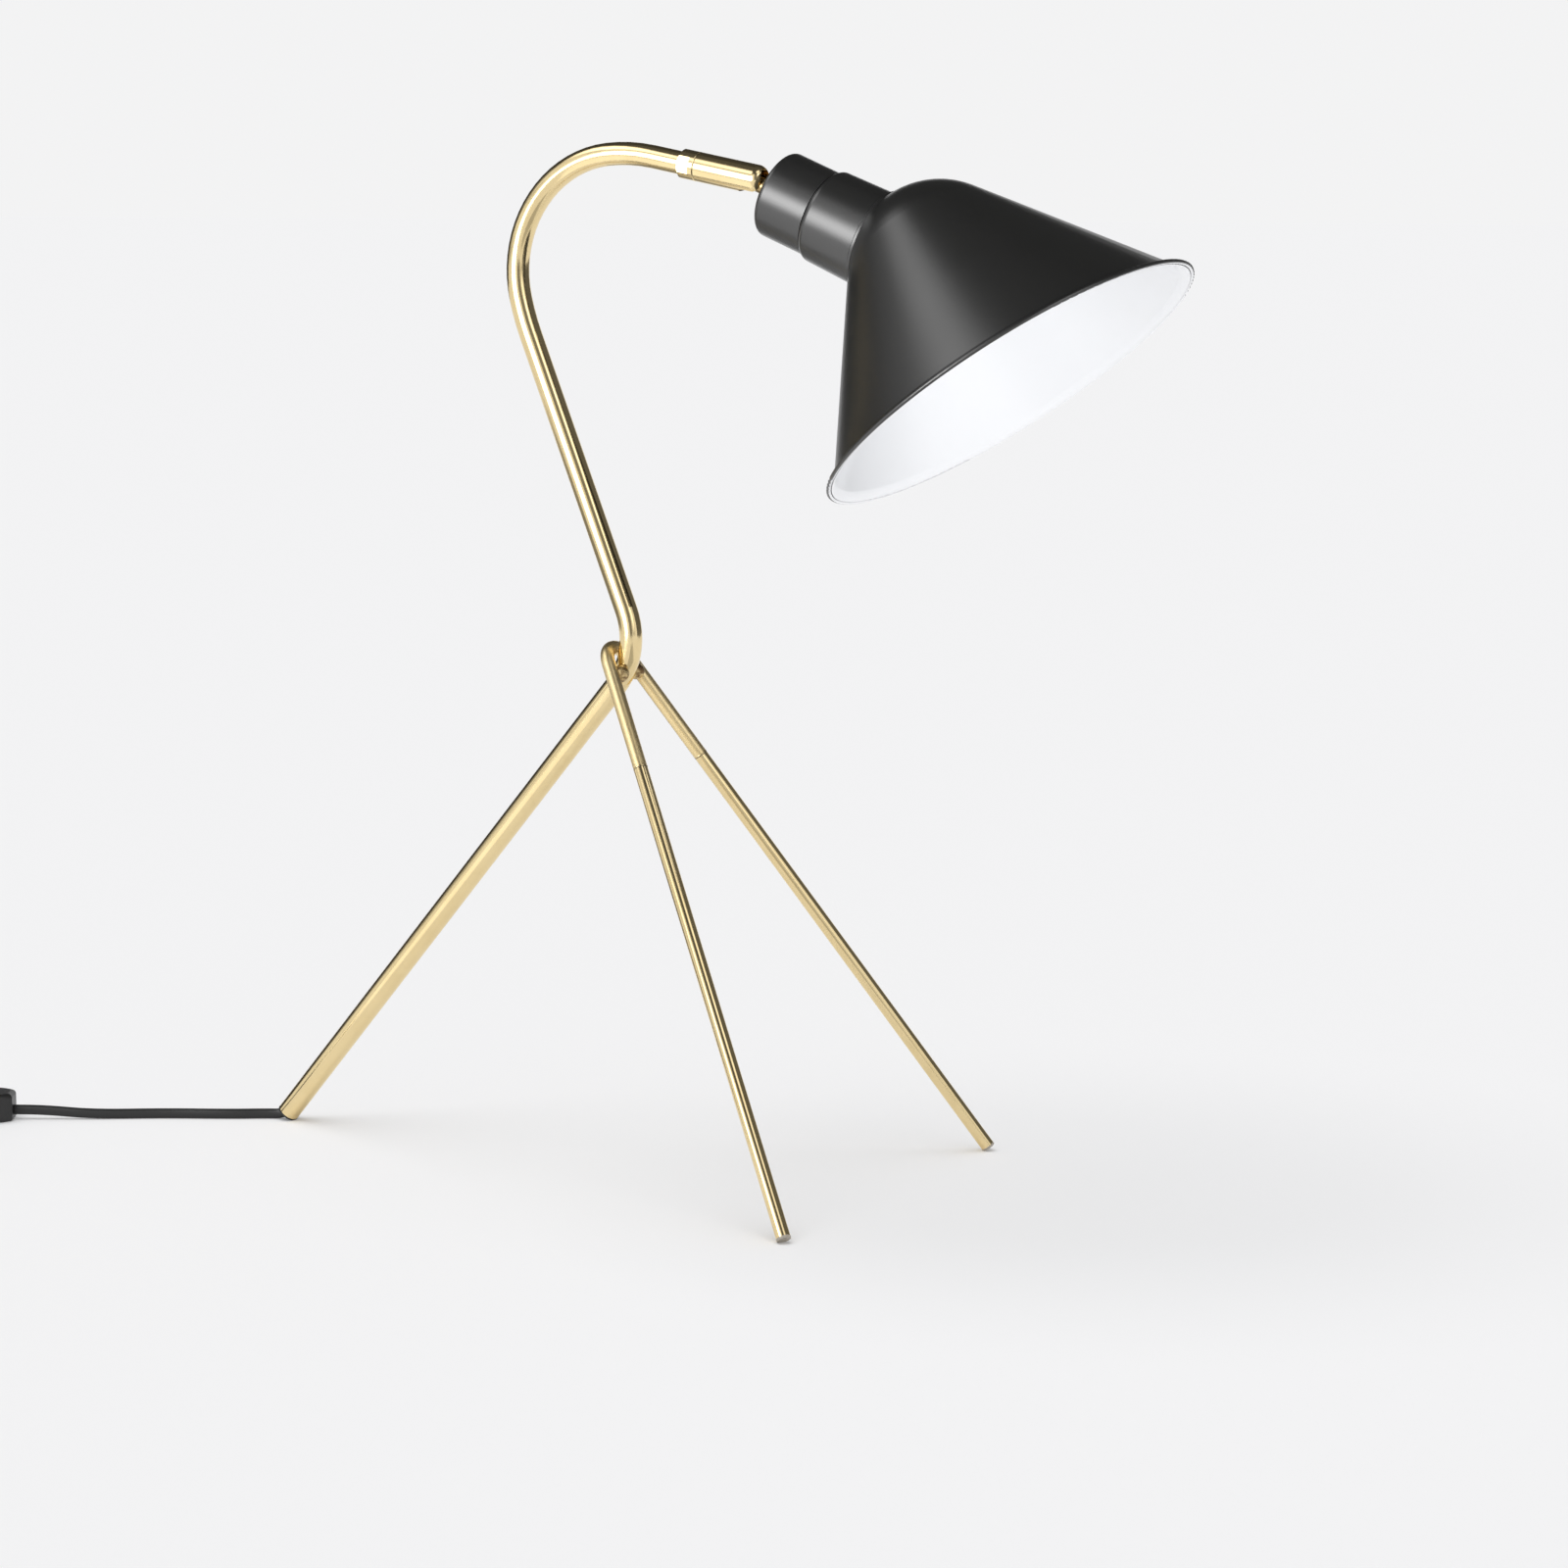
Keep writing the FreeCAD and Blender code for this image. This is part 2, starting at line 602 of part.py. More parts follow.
def shade_points(inset):
    """Points of the shade's outline at a distance inside its outer face, from the top to the rim."""
    half = math.radians(CONE_HALF)
    end = math.radians(CONE_HALF + FLARE_TURN)
    r = DOME_R - inset
    touch = (-r * math.sin(half), r * math.cos(half))
    mid_dome = (-r * math.cos((math.pi / 2 - half) / 2), r * math.sin((math.pi / 2 - half) / 2))
    flare_x = DOME_TO_RIM - RIM_ROLL_R - FLARE_R * (math.sin(end) - math.sin(half))
    outer_r = DOME_R / math.cos(half) + flare_x * math.tan(half)
    centre = (flare_x - FLARE_R * math.sin(half), outer_r + FLARE_R * math.cos(half))
    reach = FLARE_R + inset

    def on_flare(turn):
        return centre[0] + reach * math.sin(turn), centre[1] - reach * math.cos(turn)

    return (-r, 0), mid_dome, touch, on_flare(half), on_flare((half + end) / 2), on_flare(end)


def shade_outline(inset):
    """The filled shape of the shade, dome, cone and flare."""
    top, mid_dome, touch, flare, mid_flare, edge = shade_points(inset)
    return turned([top, (touch[0], touch[1], mid_dome), flare, (edge[0], edge[1], mid_flare),
                   (edge[0], 0)])


def shade():
    """Spun shade: dome, cone, flared and rolled rim, and a thin lip round the neck's seat."""
    top, mid_dome, touch, flare, mid_flare, edge = shade_points(0)
    top2, mid_dome2, touch2, flare2, mid_flare2, edge2 = shade_points(SHEET)
    wall = turned([
        top, (touch[0], touch[1], mid_dome), flare, (edge[0], edge[1], mid_flare),
        edge2, (flare2[0], flare2[1], mid_flare2), touch2, (top2[0], top2[1], mid_dome2)])
    roll = Part.makeTorus(RIM_D / 2 - RIM_ROLL_R, RIM_ROLL_R, Vector(DOME_TO_RIM - RIM_ROLL_R, 0, 0), X)
    shell = on_shade_axis(fused([wall, roll]))
    lip = ring(LIP_OUTER_R, LIP_INNER_R, DOME_AT - LIP_REACH, DOME_AT)
    lip = lip.common(Part.makeSphere(LIP_REACH, Vector(DOME_AT, 0, 0)))
    lip = lip.cut(on_shade_axis(shade_outline(SHEET / 2)))
    hole = cyl(SHADE_HOLE_D / 2, DOME_AT - DOME_R - 5, DOME_AT - 15)
    return head(fused([shell, lip]).cut(hole))


def shade_ring():
    """Threaded ring that clamps the shade to the neck from inside."""
    grip = ring(RING_D / 2, SKIRT_D / 2 + RUNNING_GAP, RING_START, RING_END)
    grip = grip.common(Part.makeSphere(DOME_R - SHEET, Vector(DOME_AT, 0, 0)))
    flute = cyl(1.2, RING_START, RING_END + 1).translated(Y * (RING_D / 2 + 0.4))
    flutes = []
    for k in range(RING_FLUTES):
        cutter = flute.copy()
        cutter.rotate(ORIGIN, X, 360 * k / RING_FLUTES)
        flutes.append(cutter)
    return head(grip.cut(flutes))


def lampholder_base():
    """Domed rear half of the lampholder, screwed on the stud."""
    r = HOLDER_D / 2
    start = CAP_WALL + WASHER_T + NUT_T + 0.1
    inside = start + 3.5
    return head(turned([
        (start, STUD_TUBE_D / 2), (start, 9.0), (start + 10, r, (start + 4.4, r - 4.0)),
        (SKIRT_START, r), (SKIRT_START, r - HOLDER_WALL), (inside + 7, r - HOLDER_WALL),
        (inside, 8.0), (inside, STUD_TUBE_D / 2)]))


def lampholder_skirt():
    """Front half of the lampholder, with a threaded part for the shade ring."""
    r, back_r = SKIRT_D / 2, HOLDER_D / 2
    step, edge = 44.0, 0.8
    bore, ledge = SHELL_D / 2 + 0.2, BLOCK_END + 2
    return head(turned([
        (SKIRT_START, back_r), (step, back_r), (step + edge, r), (SKIRT_END - edge, r),
        (SKIRT_END, r - edge), (SKIRT_END, bore + 0.6), (SKIRT_END - 2, bore), (ledge, bore),
        (ledge, back_r - HOLDER_WALL), (SKIRT_START, back_r - HOLDER_WALL)]))


def contact_block():
    """Ceramic block that carries the screw shell, the centre contact and the terminals."""
    r = BLOCK_D / 2
    block = turned([(BLOCK_START, 0), (BLOCK_START, r - 1.8), (BLOCK_START + 2, r), (BLOCK_END, r),
                    (BLOCK_END, 0)])
    pocket = cyl(8.0, CONTACT_AT, BLOCK_END + 1)
    holes = [cyl(1.6, BLOCK_START - 1, BLOCK_END + 1).translated(Y * (side * TERMINAL_ASIDE))
             for side in (-1, 1)]
    return head(block.cut([pocket] + holes))


def screw_shell():
    outer, inner = SHELL_D / 2, SHELL_BORE / 2
    inside = BLOCK_END + outer - inner
    return head(turned([(BLOCK_END, 9.0), (BLOCK_END, outer), (SHELL_END, outer), (SHELL_END, inner),
                        (inside, inner), (inside, 9.0)]))


def centre_contact():
    """Sprung tongue that touches the bulb's tip."""
    sheet, width = 0.5, 5.0
    foot = Part.makeBox(sheet, width, 12.0, Vector(CONTACT_AT, -width / 2, -6.0))
    tongue = Part.makeBox(sheet, width, 11.0, Vector(0, -width / 2, -1.0))
    tongue.rotate(ORIGIN, Y, 20)
    tongue.translate(Vector(CONTACT_AT + 0.4, 0, -5.4))
    return head(fused([foot, tongue]))


def terminal_screws():
    top = BLOCK_START - 1.9
    shank = cyl(1.5, BLOCK_START, BLOCK_START + 5.5)
    slot = Part.makeBox(1.0, 8, 0.8, Vector(top - 0.2, -4, -0.4))
    screw = fused([shank, cyl(2.9, top, BLOCK_START)]).cut(slot)
    return [head(screw.translated(Y * (side * TERMINAL_ASIDE))) for side in (-1, 1)]


def terminal_leads():
    """The flex's two wires, from the end of the stud to the terminals."""
    leads = []
    for side in (-1, 1):
        points = [Vector(STUD_END + 0.1, side * 1.3, 0), Vector(14.5, side * 1.3, 0),
                  Vector(19.0, side * 8.0, 0), Vector(21.5, side * (TERMINAL_ASIDE - 0.6), 0)]
        leads.append(head(cord_tube(points, LEAD_D / 2)))
    return leads


def bulb_base():
    """Screw base with a rounded thread, an insulator and a centre contact."""
    outer, root = BULB_BASE_D / 2, BULB_BASE_D / 2 - THREAD_DEPTH
    outline = [(37.4, 0), (37.4, 4.6), (39.5, 5.4), (THREAD_START - 1, 11.0)]
    for k in range(THREAD_TURNS):
        x = THREAD_START + k * THREAD_PITCH
        outline += [(x, root), (x + THREAD_PITCH / 2, outer)]
    thread_end = THREAD_START + THREAD_TURNS * THREAD_PITCH
    outline += [(thread_end, root), (GLASS_START, root), (GLASS_START, 0)]
    return head(turned(outline))


def bulb_outline(inset):
    """Points of the bulb's profile, from the neck to the tip, at a distance inside its outer face."""
    start, centre = GLASS_START, SKIRT_END + BULB_L - BULB_D / 2
    r = BULB_D / 2 - inset
    eighth = math.pi / 8
    return [
        (start, 12.8 - inset), (start + 5, 13.4 - inset),
        (centre - BULB_D / 4, r * math.sqrt(0.75), (start + 14.5, 16.4 - inset)),
        (centre + r * DIAGONAL, r * DIAGONAL, (centre, r)),
        (centre + r, 0, (centre + r * math.cos(eighth), r * math.sin(eighth)))]


def bulb_glass():
    """Small pear-shaped bulb with a thin wall, open where the base closes it."""
    outer, inner = (turned([(GLASS_START, 0)] + bulb_outline(inset)) for inset in (0, BULB_WALL))
    return head(outer.cut(inner))


# ---------------------------------------------------------------- cord
def rounded(points):
    """Straight runs joined by tangent arcs, each as large as its two runs allow. Returns the path's
    edges and the arcs' radii."""
    points = [Vector(*p) for p in points]
    share = 0.45
    edges, radii, at = [], [], points[0]
    for before, corner, after in zip(points, points[1:], points[2:]):
        back, on = before - corner, after - corner
        turn = math.pi - back.getAngle(on)
        trim = share * min(back.Length, on.Length)
        radius = trim / math.tan(turn / 2)
        back.normalize()
        on.normalize()
        start, end = corner + back * trim, corner + on * trim
        inward = (back + on).normalize()
        depth = radius / math.cos(turn / 2) - radius
        edges.append(Part.LineSegment(at, start).toShape())
        edges.append(Part.Arc(start, corner + inward * depth, end).toShape())
        radii.append(radius)
        at = end
    edges.append(Part.LineSegment(at, points[-1]).toShape())
    return edges, radii


def cord_tube(points, radius):
    edges, _ = rounded(points)
    start = Vector(*points[0])
    profile = Part.Wire([Part.makeCircle(radius, start, Vector(*points[1]) - start)])
    return Part.Wire(edges).makePipeShell([profile], True, False)


def coil_start():
    """The angle, round the coil's centre, at which the cord joins the coil."""
    x, y, _ = CORD_MIDDLE[-1]
    return math.atan2(y - COIL_CENTRE[1], x - COIL_CENTRE[0])


def coil_turns():
    return 2 * COIL_TURNS_PER_LAYER + 0.5


def coil_point(turn):
    """A place on the coil. The cord winds in along the floor, climbs in half a turn, and winds out."""
    in_turns = COIL_TURNS_PER_LAYER
    if turn <= in_turns:
        radius, climb = COIL_OUTER_R - COIL_PITCH * turn, 0.0
    elif turn <= in_turns + 0.5:
        past = turn - in_turns
        radius = COIL_OUTER_R - COIL_PITCH * (in_turns + past * (1 - 2 * past))
        climb = (1 - math.cos(2 * math.pi * past)) / 2
    else:
        radius = COIL_OUTER_R - COIL_PITCH * (coil_turns() - turn)
        climb = 1.0
    angle = coil_start() + 2 * math.pi * turn
    return Vector(COIL_CENTRE[0] + radius * math.cos(angle), COIL_CENTRE[1] + radius * math.sin(angle),
                  COIL_FLOOR + COIL_LAYER * climb)


def coil_tangent(turn):
    step = 0.002
    before, after = max(turn - step, 0), min(turn + step, coil_turns())
    return (coil_point(after) - coil_point(before)).normalize()


def arc_from(start, direction, end):
    """The arc that leaves start along a direction and reaches end."""
    chord = end - start
    half = direction.getAngle(chord)
    aside = direction - chord * (direction.dot(chord) / chord.dot(chord))
    if half < 1e-5:
        return Part.LineSegment(start, end).toShape()
    rise = aside.normalize() * (chord.Length / 2 * math.tan(half / 2))
    return Part.Arc(start, start + chord * 0.5 + rise, end).toShape()


def biarc(p0, t0, p1, t1):
    """Two tangent arcs between two places and directions."""
    gap, both = p1 - p0, t0 + t1
    flat = 2 * (1 - t0.dot(t1))
    reach = (math.sqrt(gap.dot(both) ** 2 + flat * gap.dot(gap)) - gap.dot(both)) / flat
    joint = (p0 + p1 + (t0 - t1) * reach) * 0.5
    at_joint = (joint - p0 - t0 * reach).normalize()
    return [arc_from(p0, t0, joint), arc_from(joint, at_joint, p1)]


def cord_coil():
    """Neat round coil in two layers, one unbroken tube on quarter-turn biarcs."""
    count = round(coil_turns() * 4)
    turns = [coil_turns() * k / count for k in range(count + 1)]
    edges = []
    for a, b in zip(turns, turns[1:]):
        edges += biarc(coil_point(a), coil_tangent(a), coil_point(b), coil_tangent(b))
    wire = Part.Wire(edges)
    profile = Part.Wire([Part.makeCircle(FLEX_D / 2, coil_point(0), coil_tangent(0))])
    return wire.makePipeShell([profile], True, False), wire.Length


def least_coil_gap():
    """Least clear gap between the coil's turns, measured on points along it."""
    per_turn = 72
    points = [coil_point(k / per_turn) for k in range(round(coil_turns() * per_turn) + 1)]
    least = min((p - q).Length for i, p in enumerate(points) for q in points[i + per_turn // 2:])
    return least - FLEX_D


def bundle_bar(grow):
    """A bar with rounded edges that fills the strap, or one grown by the strap's thickness."""
    low, high = 0.05 + TIE_T, COIL_FLOOR + COIL_LAYER + FLEX_D / 2 + 0.4
    wide = COIL_OUTER_R + 1.4 - TIE_INNER_R
    bar = Part.makeBox(wide + 2 * grow, TIE_W + 2, high - low + 2 * grow,
                       Vector(TIE_INNER_R - grow, -TIE_W / 2 - 1, low - grow))
    lengthwise = [e for e in bar.Edges if abs(e.tangentAt(e.FirstParameter).y) > 0.9]
    return bar.makeFillet(TIE_CORNER_R + grow, lengthwise)


def coil_tie():
    """Strap round the bundle of turns, on the side away from the lead."""
    slab = Part.makeBox(80, TIE_W, 40, Vector(0, -TIE_W / 2, -5))
    tie = bundle_bar(TIE_T).common(slab).cut(bundle_bar(0))
    tie.rotate(ORIGIN, Z, math.degrees(coil_start()) + 270)
    tie.translate(Vector(*COIL_CENTRE, 0))
    return tie


# ---------------------------------------------------------------- switch and plug on the cord
def on_cord(shape, start, end):
    """Set a shape that runs along +X from 0 on the line from start towards end, flat on the floor."""
    out = shape.copy()
    out.rotate(ORIGIN, Z, math.degrees(math.atan2(end[1] - start[1], end[0] - start[0])))
    out.translate(Vector(start[0], start[1], 0))
    return out


def in_switch(shape):
    return on_cord(shape, CORD_LEAD[-1], CORD_MIDDLE[0])


def in_plug(shape):
    return on_cord(shape, CORD_TAIL[-1], PLUG_HEADING)


def switch_form(inset, low, high):
    """The switch's outline, a long oval that draws in at both ends, between two heights."""
    half_w, end_w = SWITCH_W / 2 - inset, SWITCH_END_W / 2 - inset
    places = (inset, SWITCH_TAPER, SWITCH_L - SWITCH_TAPER, SWITCH_L - inset)
    edges, ends = [], []
    for side in (-1, 1):
        a, b, c, d = (Vector(x, side * w, low) for x, w in zip(places, (end_w, half_w, half_w, end_w)))
        bow = Vector(0, side * 1.6, 0)
        edges += [Part.Arc(a, (a + b) * 0.5 + bow, b).toShape(), Part.LineSegment(b, c).toShape(),
                  Part.Arc(c, (c + d) * 0.5 + bow, d).toShape()]
        ends.append((a, d))
    edges += [Part.LineSegment(left, right).toShape() for left, right in zip(*ends)]
    wire = Part.Wire(Part.__sortEdges__(edges))
    return Part.Face(wire).extrude(Z * (high - low))


def cord_channel():
    return Part.makeCylinder(FLEX_D / 2, SWITCH_L + 2, Vector(-1, 0, CORD_LEAD[-1][2]), X)


def switch_hollow(low, high):
    """The room inside the switch, short of its two ends."""
    room = Part.makeBox(SWITCH_L - 16, 40, 40, Vector(8, -20, -10))
    return switch_form(SWITCH_WALL, low, high).common(room)


def at_screws(radius, low, high):
    """Upright cylinders at the places of the switch's two screws."""
    return [Part.makeCylinder(radius, high - low, Vector(SWITCH_L / 2 + along_x, y, low))
            for along_x, y in SWITCH_SCREWS]


def switch_base():
    shell = switch_form(0, SWITCH_FOOT, SWITCH_SPLIT)
    bottom_edges = [e for e in shell.Edges if e.BoundBox.ZMax < 0.1]
    shell = shell.makeFillet(1.5, bottom_edges).cut(switch_hollow(SWITCH_WALL, SWITCH_SPLIT + 1))
    limit = switch_form(0.2, 0.5, SWITCH_SPLIT)
    posts = [post.common(limit) for post in at_screws(3.6, 1.7, 7.7)]
    holes = at_screws(SCREW_BORE / 2, -1, SWITCH_H)
    sinks = at_screws(SCREW_HEAD_D / 2 + 0.1, -0.1, SWITCH_WALL)
    return in_switch(fused([shell] + posts).cut(holes + sinks + [cord_channel()]))


def switch_cover():
    """Cover with the rocker's opening, its two bearings and the posts that take the screws."""
    shell = switch_form(0, SWITCH_SPLIT, SWITCH_H)
    top_edges = [e for e in shell.Edges if e.BoundBox.ZMin > SWITCH_H - 0.1]
    shell = shell.makeFillet(2.6, top_edges)
    shell = shell.cut(switch_hollow(SWITCH_SPLIT - 1, SWITCH_H - SWITCH_WALL))
    mouth_l, mouth_w = ROCKER_L + 1.8, ROCKER_W + 0.6
    mouth = Part.makeBox(mouth_l, mouth_w, 10,
                         Vector((SWITCH_L - mouth_l) / 2, -mouth_w / 2, SWITCH_H - 5))
    bearings = [Part.makeBox(6.0, 2.2, 3.6, Vector(SWITCH_L / 2 - 3, y0, ROCKER_PIVOT_Z - 2.0))
                for y0 in (-mouth_w / 2 - 2.2, mouth_w / 2)]
    limit = switch_form(0.2, SWITCH_SPLIT, SWITCH_H - 1)
    posts = [post.common(limit) for post in at_screws(3.0, SWITCH_SPLIT, SWITCH_H - 1)]
    holes = at_screws(SCREW_BORE / 2, SWITCH_SPLIT - 1, SWITCH_H - 2.9)
    body = fused([shell] + posts + bearings)
    return in_switch(body.cut([mouth, cord_channel(), rocker_axle(0.06)] + holes))


def rocker_axle(gap):
    """Two short pivot pins of the rocker, across the switch."""
    half = ROCKER_W / 2 + 1.3 + gap
    radius = ROCKER_PIVOT_D / 2 + gap
    return Part.makeCylinder(radius, 2 * half, Vector(SWITCH_L / 2, -half, ROCKER_PIVOT_Z), Y)


def switch_rocker():
    """Rocker with a shallow valley between its two ends, at rest pressed down at one end."""
    half = ROCKER_L / 2
    mid = SWITCH_L / 2
    low, high = ROCKER_PIVOT_Z - 1.6, SWITCH_H + 1.6
    start, end = Vector(mid - half, 0, low), Vector(mid + half, 0, low)
    right, left = Vector(mid + half, 0, high), Vector(mid - half, 0, high)
    valley = Vector(mid, 0, high - 1.3)
    outline = Part.Wire([
        Part.LineSegment(start, end).toShape(), Part.LineSegment(end, right).toShape(),
        Part.Arc(right, valley, left).toShape(), Part.LineSegment(left, start).toShape()])
    face = Part.Face(outline)
    face.translate(Vector(0, -ROCKER_W / 2, 0))
    keel = Part.makeBox(3.0, 5.0, 2.6, Vector(mid - 1.5, -2.5, low - 2.6))
    body = fused([face.extrude(Y * ROCKER_W), rocker_axle(0), keel])
    body.rotate(Vector(mid, 0, ROCKER_PIVOT_Z), Y, ROCKER_LEAN)
    return in_switch(body)


def switch_screws():
    """Two small screws with a cross in the head, driven from below."""
    screws = []
    shanks = at_screws(SCREW_BORE / 2 - RUNNING_GAP, SWITCH_WALL, 10.3)
    heads = at_screws(SCREW_HEAD_D / 2, 0.4, SWITCH_WALL)
    long, narrow = 3.4, 0.6
    for shank, top, (along_x, y) in zip(shanks, heads, SWITCH_SCREWS):
        x = SWITCH_L / 2 + along_x
        cross = [Part.makeBox(a, b, 0.8, Vector(x - a / 2, y - b / 2, 0))
                 for a, b in ((long, narrow), (narrow, long))]
        screws.append(in_switch(fused([shank, top]).cut(cross)))
    return screws


def switch_contacts():
    """Two brass strips that stand on the base, one each side of the rocker's keel."""
    strips = []
    for side in (-1, 1):
        y0 = side * 5.2 - 2.0
        flat = Part.makeBox(12.0, 4.0, 0.6, Vector(SWITCH_L / 2 - 6, y0, SWITCH_WALL))
        riser = Part.makeBox(0.6, 4.0, 4.4, Vector(SWITCH_L / 2 - 0.3, y0, SWITCH_WALL))
        strips.append(in_switch(fused([flat, riser])))
    return strips


def rounded_section(x, half_w, half_h, middle):
    """A closed outline across the plug: a rectangle with round corners."""
    corner = 0.62 * min(half_w, half_h)
    bulge = corner * (1 - DIAGONAL)
    edges = []
    for k, (sy, sz) in enumerate(((-1, 1), (-1, -1), (1, -1), (1, 1))):
        upright = Vector(x, sy * half_w, middle + sz * (half_h - corner))
        level = Vector(x, sy * (half_w - corner), middle + sz * half_h)
        start, end = (level, upright) if k % 2 == 0 else (upright, level)
        via = Vector(x, sy * (half_w - bulge), middle + sz * (half_h - bulge))
        if edges:
            edges.append(Part.LineSegment(edges[-1].lastVertex().Point, start).toShape())
        edges.append(Part.Arc(start, via, end).toShape())
    edges.append(Part.LineSegment(end, edges[0].firstVertex().Point).toShape())
    return Part.Wire(edges)


def plug_body():
    """Moulded plug: a grip that narrows to the cord, with ribs, and a flat front face."""
    middle = CORD_TAIL[-1][2]
    body = Part.makeLoft([rounded_section(*section, middle) for section in PLUG_SECTIONS], True, True)
    grooves = []
    for k in range(GRIP_RIBS):
        for side in (-1, 1):
            corner = Vector(18.2 + 2.6 * k, side * PLUG_W / 2 - 0.7, middle - PLUG_H / 2)
            grooves.append(Part.makeBox(1.2, 1.4, PLUG_H, corner))
    return in_plug(body.cut(grooves + [blade(side) for side in (-1, 1)]))


def blade(side):
    """One blade with its rounded tip, from inside the body outwards."""
    half_w = (BLADE_W[0] if side < 0 else BLADE_W[1]) / 2
    middle = CORD_TAIL[-1][2]
    start, tip, chamfer = PLUG_L - BLADE_IN, PLUG_L + BLADE_L, 1.6
    y0 = side * BLADE_GAP / 2 - BLADE_T / 2
    outline = ((start, -half_w), (tip - chamfer, -half_w), (tip, -half_w + chamfer),
               (tip, half_w - chamfer), (tip - chamfer, half_w), (start, half_w), (start, -half_w))
    flat = Part.Face(Part.makePolygon([Vector(x, y0, middle + z) for x, z in outline]))
    hole = Part.makeCylinder(BLADE_HOLE_D / 2, 6, Vector(tip - 4.6, y0 - 2, middle), Y)
    return flat.extrude(Y * BLADE_T).cut(hole)


def plug_blades():
    return [in_plug(blade(side)) for side in (-1, 1)]


# ---------------------------------------------------------------- output
def export(name, shape):
    """Write one node. A list of solids makes one node of several pieces."""
    if isinstance(shape, list):
        shape = Part.makeCompound(shape)
    valid = shape.isValid() and all(s.isValid() for s in shape.Solids)
    box = shape.optimalBoundingBox(True, False)
    print(f"{name:18s} solids {len(shape.Solids)} valid {valid} volume {shape.Volume:9.1f} "
          f"x {box.XMin:.1f} {box.XMax:.1f} y {box.YMin:.1f} {box.YMax:.1f} z {box.ZMin:.2f} {box.ZMax:.1f}")
    shape.exportStep(os.path.join("parts", name + ".step"))
    return shape


def report_cord(coil, coil_length):
    """Print the cord's bend radii, lengths and volumes, to compare with its section."""
    section = math.pi * FLEX_D ** 2 / 4
    total = coil_length + SWITCH_L
    for name, points in (("lead", CORD_LEAD), ("middle", CORD_MIDDLE), ("tail", CORD_TAIL)):
        edges, radii = rounded(points)
        length = Part.Wire(edges).Length
        total += length
        volume = cord_tube(points, FLEX_D / 2).Volume
        print(f"cord {name}: length {length:.1f}, radii {[round(r, 1) for r in radii]}, "
              f"volume {volume:.0f} of {section * length:.0f}")
    print(f"cord coil: length {coil_length:.1f}, volume {coil.Volume:.0f} of {section * coil_length:.0f}, "
          f"least gap {least_coil_gap():.2f}")
    print(f"cord from the foot to the plug: {total:.0f} mm")


def main():
    os.makedirs("parts", exist_ok=True)
    yoke = tripod_yoke()
    coil, coil_length = cord_coil()
    nodes = {
        "main_tube": main_tube(),
        "tube_grommet": tube_grommet(),
        "tripod_yoke": yoke,
        "yoke_braze": yoke_braze(yoke),
        "leg_studs": leg_studs(),
        "front_leg_left": front_leg(1),
        "front_leg_right": front_leg(-1),
        "leg_pad_left": leg_pad(1),
        "leg_pad_right": leg_pad(-1),
        "tube_nipple": tube_nipple(),
        "swivel_collar": swivel_collar(),
        "spigot_clip": spigot_clip(),
        "tube_flex": tube_flex(),
        "swivel_body": swivel_body(),
        "swivel_bush": swivel_bush(),
        "spring_stop": spring_stop(),
        "disc_springs": disc_springs(),
        "ball_seat": ball_seat(),
        "swivel_flex": swivel_flex(),
        "ball_stud": ball_stud(),
        "stud_flex": stud_flex(),
        "cap_washer": cap_washer(),
        "cap_nut": cap_nut(),
        "socket_cap": socket_cap(),
        "neck_sleeve": neck_sleeve(),
        "shade": shade(),
        "shade_ring": shade_ring(),
        "lampholder_base": lampholder_base(),
        "lampholder_skirt": lampholder_skirt(),
        "contact_block": contact_block(),
        "screw_shell": screw_shell(),
        "centre_contact": centre_contact(),
        "terminal_screws": terminal_screws(),
        "terminal_leads": terminal_leads(),
        "bulb_base": bulb_base(),
        "bulb_glass": bulb_glass(),
        "cord_lead": cord_tube(CORD_LEAD, FLEX_D / 2),
        "cord_middle": cord_tube(CORD_MIDDLE, FLEX_D / 2),
        "cord_coil": coil,
        "cord_tail": cord_tube(CORD_TAIL, FLEX_D / 2),
        "coil_tie": coil_tie(),
        "switch_base": switch_base(),
        "switch_cover": switch_cover(),
        "switch_rocker": switch_rocker(),
        "switch_contacts": switch_contacts(),
        "switch_screws": switch_screws(),
        "plug_body": plug_body(),
        "plug_blades": plug_blades(),
    }
    for name, shape in nodes.items():
        nodes[name] = export(name, shape)
    on_the_cord = ("cord_", "coil_", "switch_", "plug_")
    lamp = Part.makeCompound([s for n, s in nodes.items() if not n.startswith(on_the_cord)])
    box = lamp.optimalBoundingBox(True, False)
    print(f"lamp x {box.XMin:.3f} {box.XMax:.3f}, y {box.YMin:.3f} {box.YMax:.3f}, z {box.ZMin:.3f} {box.ZMax:.3f}")
    print(f"ball {BALL}, cap back {CAP_BACK}, swivel drop {SWIVEL_DROP:.2f}, tip {TIP}, stem {STEM_RUN:.2f}")
    report_cord(coil, coil_length)


main()
